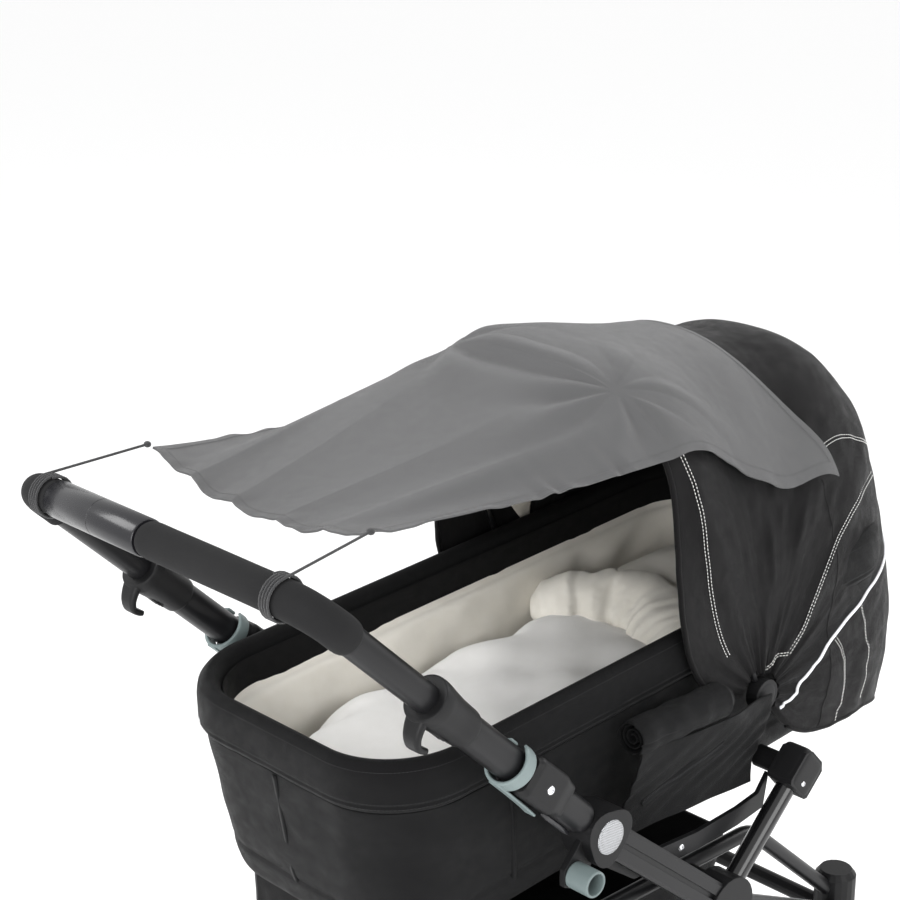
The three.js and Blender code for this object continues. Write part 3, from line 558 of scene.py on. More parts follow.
def stitches(path: Array, normal: Array, pitch: float, thread: float,
             offset: float = 0.0) -> tuple[Array, list[list[int]]]:
    """A row of stitches along a path: each is a short spindle lying on the cloth.

    A stitch runs over 0.7 of the pitch. Its centreline rises by half a circle's sine
    over the cloth, and its round section swells with the same sine.

    Args:
        path: The (n, 3) seam line on the cloth.
        normal: The cloth's outward direction at each point.
        pitch: The distance from stitch to stitch.
        thread: The thread's radius.
        offset: How far to the side of the seam line the row runs.

    Returns:
        The points and faces of the whole row.
    """
    side = unit(np.cross(normal, np.gradient(path, axis=0)))
    line = path + side * offset
    s = np.concatenate([[0.0], np.cumsum(np.linalg.norm(np.diff(line, axis=0), axis=1))])
    count = max(1, int(s[-1] / pitch))
    start = (np.arange(count) + 0.15) * pitch
    share = np.array([0.0, 0.25, 0.5, 0.75, 1.0])
    t = start[:, None] + share[None, :] * pitch * 0.7
    rise = np.sin(share * math.pi)

    def along(values: Array) -> Array:
        """Values looked up at each stitch's places."""
        return np.stack([np.interp(t, s, values[:, k]) for k in range(3)], -1)

    p, up, sideways = along(line), unit(along(normal)), unit(along(side))
    p = p + up * (thread * 0.9 * rise)[None, :, None]
    a = np.arange(6) / 6 * 2 * math.pi
    size = thread * (0.35 + 0.65 * rise)
    rings = p[:, :, None] + size[None, :, None, None] * (
        np.cos(a)[None, None, :, None] * sideways[:, :, None]
                                                         + np.sin(a)[None, None, :, None] * up[:, :, None])
    quads, _ = grid_faces(5, 6, False, True)
    caps = [[5, 4, 3, 2, 1, 0], [24, 25, 26, 27, 28, 29]]
    faces = [(np.asarray(f) + 30 * k).tolist() for k in range(count) for f in quads.tolist() + caps]
    return rings.reshape(-1, 3), faces


# ---------- finishes ----------
class Pattern(Enum):
    """The kinds of surface that a finish can have."""

    PAINT = "paint"
    MOULDED = "moulded"
    FOAM = "foam"
    RUBBER = "rubber"
    WEAVE = "weave"
    COTTON = "cotton"
    BRAID = "braid"
    HONEYCOMB = "honeycomb"
    PLAIN_METAL = "plain metal"


class NodeGroups:
    """The shader groups that more than one finish uses, each built once."""

    @staticmethod
    def _start(name: str, inputs: Sequence[str],
               outputs: Sequence[str]) -> tuple[bpy.types.NodeTree, object, object]:
        """An empty group, whose sockets' kinds follow from their names.

        Returns:
            The tree, what it is given and what it puts out.
        """
        tree = bpy.data.node_groups.new(name, "ShaderNodeTree")
        for way, labels in (("INPUT", inputs), ("OUTPUT", outputs)):
            for label in labels:
                kind = ("Color" if label.endswith("Color") else
                        "Vector" if label in ("Vector", "Normal") else "Float")
                tree.interface.new_socket(label, in_out=way, socket_type=f"NodeSocket{kind}")
        return tree, tree.nodes.new("NodeGroupInput").outputs, tree.nodes.new("NodeGroupOutput").inputs

    @staticmethod
    def _plug(tree: bpy.types.NodeTree, value: object, socket: bpy.types.NodeSocket) -> None:
        """Links a socket to an input, or sets the input to a number."""
        if isinstance(value, bpy.types.NodeSocket):
            tree.links.new(value, socket)
        else:
            socket.default_value = value

    @classmethod
    def _math(cls, tree: bpy.types.NodeTree, operation: str, *values: object) -> bpy.types.NodeSocket:
        """A Math node on sockets or numbers."""
        node = tree.nodes.new("ShaderNodeMath")
        node.operation = operation
        for socket, value in zip(node.inputs, values):
            cls._plug(tree, value, socket)
        return node.outputs[0]

    @classmethod
    def _noise(cls, tree: bpy.types.NodeTree, vector: object, scale: object,
               detail: float) -> bpy.types.NodeSocket:
        """A noise texture's value."""
        node = tree.nodes.new("ShaderNodeTexNoise")
        for name, value in (("Detail", detail), ("Vector", vector), ("Scale", scale)):
            cls._plug(tree, value, node.inputs[name])
        return node.outputs["Fac"]

    @classmethod
    def _range(cls, tree: bpy.types.NodeTree, value: object, low: object, high: object,
               bottom: float = 0.3, top: float = 0.7) -> bpy.types.NodeSocket:
        """A value carried from one range to another."""
        node = tree.nodes.new("ShaderNodeMapRange")
        for name, given in (("Value", value), ("From Min", bottom), ("From Max", top),
                            ("To Min", low), ("To Max", high)):
            cls._plug(tree, given, node.inputs[name])
        return node.outputs["Result"]

    @classmethod
    def _mix(cls, tree: bpy.types.NodeTree, share: object, a: object, b: object) -> bpy.types.NodeSocket:
        """A colour between two colours."""
        node = tree.nodes.new("ShaderNodeMix")
        node.data_type = "RGBA"
        for place, value in (("Factor", share), (6, a), (7, b)):
            cls._plug(tree, value, node.inputs[place])
        return node.outputs[2]

    @classmethod
    @cache
    def grain(cls) -> bpy.types.NodeTree:
        """Fine grain: two sizes of noise that tint, roughen and pit a hard surface."""
        tree, given, out = cls._start(
            "Surface Grain",
            ("Vector", "Scale", "Color", "Second Color", "Roughness Low", "Roughness High"),
            ("Color", "Roughness", "Height"))
        fine = cls._noise(tree, given["Vector"], given["Scale"], 3.0)
        broad = cls._noise(tree, given["Vector"], 9.0, 4.0)
        tint = cls._range(tree, broad, 0.0, 1.0)
        tree.links.new(cls._mix(tree, tint, given["Color"], given["Second Color"]),
                       out["Color"])
        both = cls._math(tree, "MULTIPLY_ADD", fine, 0.5, cls._math(tree, "MULTIPLY", broad, 0.5))
        tree.links.new(cls._range(tree, both, given["Roughness Low"], given["Roughness High"]),
                       out["Roughness"])
        tree.links.new(fine, out["Height"])
        return tree

    @classmethod
    @cache
    def edge_wear(cls) -> bpy.types.NodeTree:
        """Softened edges, and a paler colour where an edge is worn, broken up by noise."""
        tree, given, out = cls._start(
            "Edge Wear",
            ("Vector", "Radius", "Color", "Worn Color"),
            ("Color", "Normal"))
        bevel = tree.nodes.new("ShaderNodeBevel")
        bevel.samples = 4
        tree.links.new(given["Radius"], bevel.inputs["Radius"])
        shape = tree.nodes.new("ShaderNodeNewGeometry")
        dot = tree.nodes.new("ShaderNodeVectorMath")
        dot.operation = "DOT_PRODUCT"
        tree.links.new(bevel.outputs["Normal"], dot.inputs[0])
        tree.links.new(shape.outputs["Normal"], dot.inputs[1])
        edge = cls._range(tree, dot.outputs["Value"], 1.0, 0.0, 0.80, 0.97)
        spots = cls._range(tree, cls._noise(tree, given["Vector"], 140.0, 4.0), 0.0, 0.8, 0.45, 0.7)
        tree.links.new(cls._mix(tree, cls._math(tree, "MULTIPLY", edge, spots), given["Color"],
                                given["Worn Color"]), out["Color"])
        tree.links.new(bevel.outputs["Normal"], out["Normal"])
        return tree

    @classmethod
    @cache
    def weave(cls) -> bpy.types.NodeTree:
        """Plain weave: crowns of warp and weft take turns on a checker, under slubs and shade."""
        tree, given, out = cls._start(
            "Plain Weave",
            ("Vector", "Threads", "Color", "Second Color", "Roughness Low", "Roughness High"),
            ("Color", "Roughness", "Height"))
        split = tree.nodes.new("ShaderNodeSeparateXYZ")
        tree.links.new(given["Vector"], split.inputs[0])
        x, y = (cls._math(tree, "MULTIPLY", split.outputs[k], given["Threads"]) for k in (0, 1))
        crown_x, crown_y = (
            cls._math(tree, "ABSOLUTE", cls._math(tree, "SINE", cls._math(tree, "MULTIPLY", c, math.pi)))
            for c in (x, y))
        cell = cls._math(tree, "ADD", cls._math(tree, "FLOOR", x), cls._math(tree, "FLOOR", y))
        over = cls._math(tree, "ABSOLUTE", cls._math(tree, "MODULO", cell, 2.0))
        under = cls._math(tree, "SUBTRACT", 1.0, over)
        cloth = cls._math(tree, "ADD", cls._math(tree, "MULTIPLY", crown_x, over),
                          cls._math(tree, "MULTIPLY", crown_y, under))
        slub = cls._noise(tree, given["Vector"], 60.0, 5.0)
        shade = cls._noise(tree, given["Vector"], 7.0, 3.0)
        tint = cls._math(tree, "MULTIPLY_ADD", cloth, 0.25, cls._math(tree, "MULTIPLY", slub, 0.5))
        tint = cls._math(tree, "MULTIPLY_ADD", shade, 0.35, tint)
        tree.links.new(cls._mix(tree, cls._range(tree, tint, 0.0, 1.0, 0.3, 0.85), given["Color"],
                                given["Second Color"]), out["Color"])
        tree.links.new(cls._range(tree, slub, given["Roughness Low"], given["Roughness High"]),
                       out["Roughness"])
        tree.links.new(cls._math(tree, "MULTIPLY_ADD", slub, 0.6, cloth), out["Height"])
        return tree

    @classmethod
    @cache
    def honeycomb(cls) -> bpy.types.NodeTree:
        """Six-sided cells: the sum of three cosines whose directions are 60 degrees apart."""
        tree, given, out = cls._start(
            "Honeycomb Cells",
            ("Vector", "Cells", "Color", "Second Color"),
            ("Color", "Height"))
        total: object = None
        for turn in (0, 60, 120):
            dot = tree.nodes.new("ShaderNodeVectorMath")
            dot.operation = "DOT_PRODUCT"
            tree.links.new(given["Vector"], dot.inputs[0])
            dot.inputs[1].default_value = (0, math.cos(math.radians(turn)), math.sin(math.radians(turn)))
            wave = cls._math(tree, "COSINE",
                             cls._math(tree, "MULTIPLY", dot.outputs["Value"], given["Cells"]))
            total = wave if total is None else cls._math(tree, "ADD", total, wave)
        tree.links.new(cls._mix(tree, cls._range(tree, total, 1.0, 0.0, -1.0, 1.2), given["Color"],
                                given["Second Color"]), out["Color"])
        tree.links.new(total, out["Height"])
        return tree


@dataclass(frozen=True)
class Finish:
    """One finish of the stroller.

    Args:
        slot: The record's material slot.
        pattern: What kind of surface it is.
        color: Its main colour.
        second: The colour that it varies towards.
        worn: The colour of its rubbed edges.
        rough: Its lowest and highest roughness.
        metallic: How metallic it is.
        coat: How much clear gloss lies over it.
        sheen: How much the fibres catch grazing light.
        scale: Grain per metre, threads per metre or cells.
        relief: The depth of its relief, in metres.
        edge: The radius of its softened edges, 0 for cloth.
        name: The material's name where the slot has more than one.
        gleam: How strongly it mirrors, where 0.5 is plain plastic.
    """

    slot: str
    pattern: Pattern
    color: tuple[float, float, float]
    second: tuple[float, float, float]
    worn: tuple[float, float, float] = (0.2, 0.2, 0.2)
    rough: tuple[float, float] = (0.4, 0.6)
    metallic: float = 0.0
    coat: float = 0.0
    sheen: float = 0.0
    scale: float = 900.0
    relief: float = 0.0001
    edge: float = 0.0
    name: str = ""
    gleam: float = 0.4

    def dress(self, piece: Piece) -> None:
        """Gives a piece this finish and nothing else."""
        piece.data.materials.clear()
        piece.data.materials.append(self.material())

    def dress_node(self, node: str) -> None:
        """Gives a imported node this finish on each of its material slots."""
        for place in frame["nodes"][node].material_slots:
            place.material = self.material()

    def material(self) -> bpy.types.Material:
        """The Blender material, built at the first call."""
        label = self.name or self.slot
        made = bpy.data.materials.get(f"finish_{label}")
        if made is not None:
            return made
        made = bpy.data.materials.new(f"finish_{label}")
        made.use_nodes = True
        tree = made.node_tree
        shader = tree.nodes["Principled BSDF"]
        looks = {"Metallic": self.metallic, "Specular IOR Level": self.gleam, "Coat Weight": self.coat,
                 "Coat Roughness": 0.08, "Sheen Weight": self.sheen, "Sheen Roughness": 0.4}
        for name, value in looks.items():
            shader.inputs[name].default_value = value
        place = tree.nodes.new("ShaderNodeTexCoord")
        cloth = self.pattern in (Pattern.WEAVE, Pattern.COTTON, Pattern.BRAID)
        vector = place.outputs["UV" if cloth else "Object"]
        group = tree.nodes.new("ShaderNodeGroup")
        honeycomb = NodeGroups.honeycomb if self.pattern is Pattern.HONEYCOMB else NodeGroups.grain
        group.node_tree = NodeGroups.weave() if cloth else honeycomb()
        tree.links.new(vector, group.inputs["Vector"])
        group.inputs["Color"].default_value = (*self.color, 1)
        group.inputs["Second Color"].default_value = (*self.second, 1)
        size = {"Threads": self.scale, "Scale": self.scale, "Cells": self.scale,
                "Roughness Low": self.rough[0], "Roughness High": self.rough[1]}
        for name, value in size.items():
            if name in group.inputs:
                group.inputs[name].default_value = value
        bump = tree.nodes.new("ShaderNodeBump")
        bump.inputs["Strength"].default_value = 1.0
        bump.inputs["Distance"].default_value = self.relief
        tree.links.new(group.outputs["Height"], bump.inputs["Height"])
        color = group.outputs["Color"]
        if self.edge > 0:
            wear = tree.nodes.new("ShaderNodeGroup")
            wear.node_tree = NodeGroups.edge_wear()
            tree.links.new(vector, wear.inputs["Vector"])
            wear.inputs["Radius"].default_value = self.edge
            wear.inputs["Worn Color"].default_value = (*self.worn, 1)
            tree.links.new(color, wear.inputs["Color"])
            tree.links.new(wear.outputs["Normal"], bump.inputs["Normal"])
            color = wear.outputs["Color"]
        tree.links.new(color, shader.inputs["Base Color"])
        if "Roughness" in group.outputs:
            tree.links.new(group.outputs["Roughness"], shader.inputs["Roughness"])
        else:
            shader.inputs["Roughness"].default_value = self.rough[0]
        tree.links.new(bump.outputs["Normal"], shader.inputs["Normal"])
        return made


class Palette:
    """Every finish of the stroller by name."""

    paint = Finish("black_paint", Pattern.PAINT, (0.005, 0.005, 0.0055), (0.008, 0.008, 0.009),
                   (0.02, 0.02, 0.021), (0.3, 0.42), 0.0, 0.03, 0.0, 1500.0, 0.00004, 0.0012, gleam=0.25)
    gloss = Finish("gloss_tube", Pattern.PAINT, (0.004, 0.004, 0.0045), (0.006, 0.006, 0.0065),
                   (0.03, 0.03, 0.03), (0.12, 0.2), 0.0, 0.35, 0.0, 900.0, 0.00001, 0.001)
    plastic = Finish("black_plastic", Pattern.MOULDED, (0.005, 0.005, 0.0055), (0.009, 0.009, 0.0095),
                     (0.03, 0.03, 0.03), (0.36, 0.5), 0.0, 0.0, 0.0, 1800.0, 0.00012, 0.0016, gleam=0.2)
    sleeve = Finish("gloss_plastic", Pattern.MOULDED, (0.010, 0.010, 0.012), (0.013, 0.013, 0.015),
                    (0.04, 0.04, 0.04), (0.2, 0.3), 0.0, 0.15, 0.0, 700.0, 0.00002, 0.001)
    grey = Finish("grey_plastic", Pattern.MOULDED, (0.13, 0.165, 0.165), (0.16, 0.2, 0.2),
                  (0.25, 0.28, 0.28), (0.35, 0.5), 0.0, 0.0, 0.0, 1400.0, 0.00008, 0.0012)
    reflector = Finish("reflector", Pattern.HONEYCOMB, (0.16, 0.165, 0.17), (0.55, 0.56, 0.58),
                       (0.9, 0.9, 0.9), (0.2, 0.3), 0.3, 0.5, 0.0, 3600.0, 0.0003, 0.0)
    foam = Finish("foam", Pattern.FOAM, (0.009, 0.009, 0.0095), (0.015, 0.015, 0.0155),
                  (0.04, 0.04, 0.04), (0.8, 0.95), 0.0, 0.0, 0.02, 1300.0, 0.0004, 0.0, gleam=0.15)
    tyre = Finish("tyre", Pattern.RUBBER, (0.02, 0.02, 0.02), (0.032, 0.031, 0.03),
                  (0.06, 0.06, 0.06), (0.7, 0.9), 0.0, 0.0, 0.0, 700.0, 0.0002, 0.0)
    rim = Finish("rim", Pattern.MOULDED, (0.22, 0.225, 0.235), (0.27, 0.275, 0.285),
                 (0.4, 0.4, 0.4), (0.35, 0.5), 0.2, 0.0, 0.0, 1200.0, 0.00008, 0.0015)
    cot = Finish("cot_fabric", Pattern.WEAVE, (0.003, 0.003, 0.0033), (0.0048, 0.0048, 0.0052),
                 rough=(0.42, 0.6), sheen=0.03, scale=1300.0, relief=0.00022, gleam=0.09)
    hood = Finish("hood_fabric", Pattern.WEAVE, (0.0036, 0.0033, 0.0036), (0.0055, 0.0051, 0.0055),
                  rough=(0.38, 0.56), sheen=0.03, scale=1500.0, relief=0.00018, gleam=0.09)
    sail = Finish("sail_fabric", Pattern.WEAVE, (0.060, 0.060, 0.061), (0.078, 0.078, 0.080),
                  rough=(0.55, 0.72), sheen=0.2, scale=1600.0, relief=0.00012)
    lining = Finish("lining", Pattern.COTTON, (0.86, 0.82, 0.73), (0.94, 0.91, 0.84),
                    rough=(0.75, 0.9), sheen=0.25, scale=1500.0, relief=0.0002)
    sheet = Finish("lining", Pattern.COTTON, (0.91, 0.90, 0.87), (0.97, 0.96, 0.94),
                   rough=(0.75, 0.9), sheen=0.25, scale=1700.0, relief=0.00015, name="sheet_cotton")
    beige = Finish("lining", Pattern.COTTON, (0.6, 0.56, 0.48), (0.7, 0.66, 0.58),
                   rough=(0.7, 0.85), sheen=0.2, scale=1400.0, relief=0.0002, name="beige_cotton")
    cord = Finish("cord", Pattern.BRAID, (0.012, 0.012, 0.013), (0.04, 0.04, 0.042),
                  rough=(0.6, 0.8), sheen=0.2, scale=900.0, relief=0.0004)
    thread = Finish("hood_fabric", Pattern.COTTON, (0.72, 0.72, 0.7), (0.85, 0.85, 0.83),
                    rough=(0.5, 0.7), scale=1500.0, relief=0.00005, name="white_thread")
    grey_thread = Finish("sail_fabric", Pattern.COTTON, (0.1, 0.1, 0.1), (0.14, 0.14, 0.14),
                         rough=(0.6, 0.8), scale=1500.0, relief=0.00005, name="grey_thread")
    dark_thread = Finish("cot_fabric", Pattern.COTTON, (0.02, 0.02, 0.021), (0.03, 0.03, 0.031),
                         rough=(0.5, 0.7), scale=1500.0, relief=0.00005, name="dark_thread")
    piping = Finish("hood_fabric", Pattern.COTTON, (0.86, 0.88, 0.92), (0.95, 0.96, 0.98),
                    rough=(0.3, 0.4), scale=2200.0, relief=0.0001, name="reflective_piping")
    chrome = Finish("black_paint", Pattern.PLAIN_METAL, (0.72, 0.73, 0.75), (0.8, 0.8, 0.82),
                    (0.9, 0.9, 0.9), (0.1, 0.2), 1.0, 0.0, 0.0, 800.0, 0.00002, 0.0, "bright_steel")


PALETTE = Palette()


# ---------- the side plane ----------
@dataclass(frozen=True)
class SidePlane:
    """The plane of the side tubes, where every point is a (y, z) pair."""

    tube_x: float = 0.237
    bend: tuple[float, float] = (-0.538, 1.060)
    hub: tuple[float, float] = (-0.149, 0.689)
    crossing: tuple[float, float] = (0.074, 0.508)
    bracket: tuple[float, float] = (0.208, 0.634)
    rear_axle: tuple[float, float] = (-0.306, 0.150)

    @staticmethod
    def heading(a: Sequence[float], b: Sequence[float]) -> Array:
        """The direction from one (y, z) point to another, as x, y, z."""
        return unit(np.array([0.0, b[0] - a[0], b[1] - a[1]]))

    def point(self, x: float, at: Sequence[float]) -> Array:
        """A (y, z) pair as a point in space."""
        return np.array([x, at[0], at[1]])

    def on_handle(self, side: Side, along: float, below: float = 0.0) -> Array:
        """A point down the handle's side tube from its bend, and below its centreline."""
        d = self.heading(self.bend, self.hub)
        return (self.point(side.value * self.tube_x, self.bend) + d * along
                + np.array([0.0, d[2], -d[1]]) * below)


PLANE = SidePlane()


# ---------- studio ----------
@dataclass
class Studio:
    """The floor, the lights and the camera."""

    camera_at: tuple[float, float, float] = (1.6046, -1.6625, 1.8124)
    azimuth: float = 46.54
    elevation: float = 18.67
    lens: float = 84.0

    def camera(self) -> None:
        """A level camera that looks down on the carrycot from behind the handle's right end."""
        a, e = math.radians(self.azimuth), math.radians(self.elevation)
        look = Vector((-math.sin(a) * math.cos(e), math.cos(a) * math.cos(e), -math.sin(e)))
        data = bpy.data.cameras.new("camera")
        data.lens, data.sensor_width = self.lens, 36.0
        eye = bpy.data.objects.new("camera", data)
        eye.location = self.camera_at
        eye.rotation_mode = "QUATERNION"
        eye.rotation_quaternion = look.to_track_quat("-Z", "Y")
        bpy.context.scene.collection.objects.link(eye)
        bpy.context.scene.camera = eye

    def floor(self) -> None:
        """A wide pale floor."""
        mesh = bpy.data.meshes.new("floor")
        mesh.from_pydata([(-40, -40, -0.0005), (40, -40, -0.0005), (40, 40, -0.0005), (-40, 40, -0.0005)], [],
                         [[0, 1, 2, 3]])
        ground = bpy.data.objects.new("floor", mesh)
        bpy.context.scene.collection.objects.link(ground)
        paper = bpy.data.materials.new("pale_floor")
        paper.use_nodes = True
        shader = paper.node_tree.nodes["Principled BSDF"]
        shader.inputs["Base Color"].default_value = (0.97, 0.97, 0.97, 1)
        shader.inputs["Roughness"].default_value = 0.85
        mesh.materials.append(paper)
        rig.stage(ground)

    def lights(self) -> None:
        """A pale sky and four soft boxes: a key over the handle, a fill at the right, a rim and a low one."""
        world = bpy.data.worlds.new("studio")
        world.use_nodes = True
        world.node_tree.nodes["Background"].inputs["Color"].default_value = (1.0, 1.0, 1.0, 1)
        world.node_tree.nodes["Background"].inputs["Strength"].default_value = 1.0
        bpy.context.scene.world = world
        bpy.context.scene.view_settings.view_transform = "Standard"
        for name, at, target, size, power in (
            ("key", (-1.2, -2.2, 3.2), (0, 0, 0.9), 1.6, 62.0),
            ("fill", (3.0, 0.2, 1.7), (0, 0, 0.8), 1.8, 40.0),
            ("rim", (0.6, 2.8, 2.6), (0, 0.1, 0.9), 1.4, 36.0),
            ("low", (0.9, -2.1, 1.3), (0, 0.1, 0.8), 1.2, 30.0),
        ):
            data = bpy.data.lights.new(name, "AREA")
            data.shape, data.size, data.energy = "SQUARE", size, power
            lamp = bpy.data.objects.new(name, data)
            lamp.location = at
            lamp.rotation_mode = "QUATERNION"
            lamp.rotation_quaternion = (Vector(target) - Vector(at)).to_track_quat("-Z", "Y")
            bpy.context.scene.collection.objects.link(lamp)


# ---------- ties ----------
@dataclass
class TieCords:
    """The two cords from the sail's rear corners, wound round the push bar."""

    sail_corner: tuple[float, float, float] = (0.182, -0.418, 1.092)
    radius: float = 0.0015
    turns: int = 4
    pitch: float = 0.0039
    coil_radius: float = 0.0224
    coil_x: float = 0.199
    length: float = 0.688

    def route(self, side: Side) -> Array:
        """Straight to the bar and then round it: a helix of even pitch about the bar's axis."""
        bar = np.array(PLANE.bend)
        start = np.array([side.value * self.sail_corner[0], *self.sail_corner[1:]])
        arm = start[1:] - bar
        touch = math.atan2(arm[1], arm[0]) + math.acos(self.coil_radius / math.hypot(*arm))
        turn = np.linspace(0, self.turns, self.turns * 24 + 1)
        a = touch + turn * 2 * math.pi
        coil = np.stack([side.value * (self.coil_x - self.pitch * turn), bar[0]
                         + self.coil_radius * np.cos(a),
                         bar[1] + self.coil_radius * np.sin(a)], 1)
        straight = start + (coil[0] - start) * np.linspace(0, 1, 16)[:-1, None]
        return np.concatenate([straight, coil])

    def build(self) -> None:
        """Both cords, each with a knot at the sail's corner."""
        for side in SIDES:
            path = self.route(side)
            name = f"braided_tie_{side.label}"
            a = np.arange(12) / 12 * 2 * math.pi
            section = self.radius * (1 + 0.05 * np.cos(4 * a))[:, None] * np.stack([np.cos(a), np.sin(a)], 1)
            piece = ring_piece(name, swept_rings(path, section, (1.0, 0.02, 0.0)), PALETTE.cord)
            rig.replaces(piece, f"tie_cord_{side.label}")
            knot = soft_block(f"tie_knot_{side.label}", path[0] + (path[1] - path[0]) * 0.2, np.eye(3),
                              (0.0042, 0.0038, 0.0034), PALETTE.cord, 2.3, 16)
            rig.ride(knot, "chassis")
            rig.cord(piece, exit=tuple(path[0]), length=self.length, diameter=2 * self.radius,
                    far_end="object",
                    stiffness="limp", lay="taut", path=path.tolist(), with_pieces=[knot])
            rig.blend(piece, "chassis", "handle", start=(0, -0.418, 1.08), end=(0, -0.512, 1.08))
            log.info("tie cord %s", side.label)


# ---------- push handle ----------
@dataclass
class PushHandle:
    """The bent inner tube with its foam grips and the smooth sleeve between them."""

    tube_radius: float = 0.016
    grip_radius: float = 0.0195
    bend_radius: float = 0.036
    grip_end: float = 0.058
    tube_end: float = 0.33
    sleeve: tuple[float, float] = (-0.177, -0.020)
    gap: float = 0.0004
    foam_relief: float = 0.0003

    def _bar(self, x: float) -> Array:
        """A point on the crossbar."""
        return PLANE.point(x, PLANE.bend)

    def _plane_normal(self) -> Array:
        """The direction square to the plane of the crossbar and the side tubes."""
        return np.cross([1.0, 0, 0], PLANE.heading(PLANE.bend, PLANE.hub))

    def _foam(self, name: str, points: Sequence[Array], node: str) -> Piece:
        """A foam grip: a soft tube, slightly uneven, with rolled ends."""
        path = resampled(bent_path(points, self.bend_radius), 90)
        s = np.linspace(0, 1, 90)
        scale = 1 + 0.012 * ripple(s * 9, np.zeros(90), 4) - 0.16 * (np.exp(-s / 0.012)
                                                                     + np.exp(-(1 - s) / 0.012))
        rings = swept_rings(path, circle(self.grip_radius, 40), self._plane_normal(), scale)
        piece = ring_piece(name, rings, PALETTE.foam)
        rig.replaces(piece, node)
        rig.padded(piece, fill=1.0)
        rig.ride(piece, "handle")
        return piece

    def build(self) -> None:
        """The tube, the two grips and the sleeve."""
        leg = {s: PLANE.on_handle(s, self.tube_end) for s in SIDES}
        bend = {s: self._bar(s.value * PLANE.tube_x) for s in SIDES}
        path = bent_path([leg[Side.FAR], bend[Side.FAR], bend[Side.NEAR], leg[Side.NEAR]], self.bend_radius)
        tube = tube_piece("handle_inner_tube", path, self.tube_radius, PALETTE.paint, self._plane_normal())
        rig.replaces(tube, "handle_tube")
        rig.ride(tube, "handle")
        grip = {s: PLANE.on_handle(s, self.grip_end) for s in SIDES}
        self._foam("foam_far", [grip[Side.FAR], bend[Side.FAR], self._bar(self.sleeve[0] - self.gap)],
                   "grip_foam_far")
        self._foam("foam_near", [self._bar(self.sleeve[1] + self.gap), bend[Side.NEAR], grip[Side.NEAR]],
                   "grip_foam_near")
        x0, x1 = self.sleeve
        r = self.grip_radius + 0.0008
        middle = (x0 + x1) / 2
        profile = [(0, r - 0.0035), (0, r - 0.001), (0.0012, r), (middle - x0 - 0.0006, r),
                   (middle - x0 - 0.0003, r - 0.0005), (middle - x0 + 0.0003, r - 0.0005),
                   (middle - x0 + 0.0006, r), (x1 - x0 - 0.0012, r), (x1 - x0, r - 0.001),
                   (x1 - x0, r - 0.0035)]
        sleeve = turned_piece("smooth_sleeve", profile, self._bar(x0), (1, 0, 0), PALETTE.sleeve, 64)
        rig.replaces(sleeve, "grip_sleeve")
        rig.ride(sleeve, "handle")
        log.info("push handle")


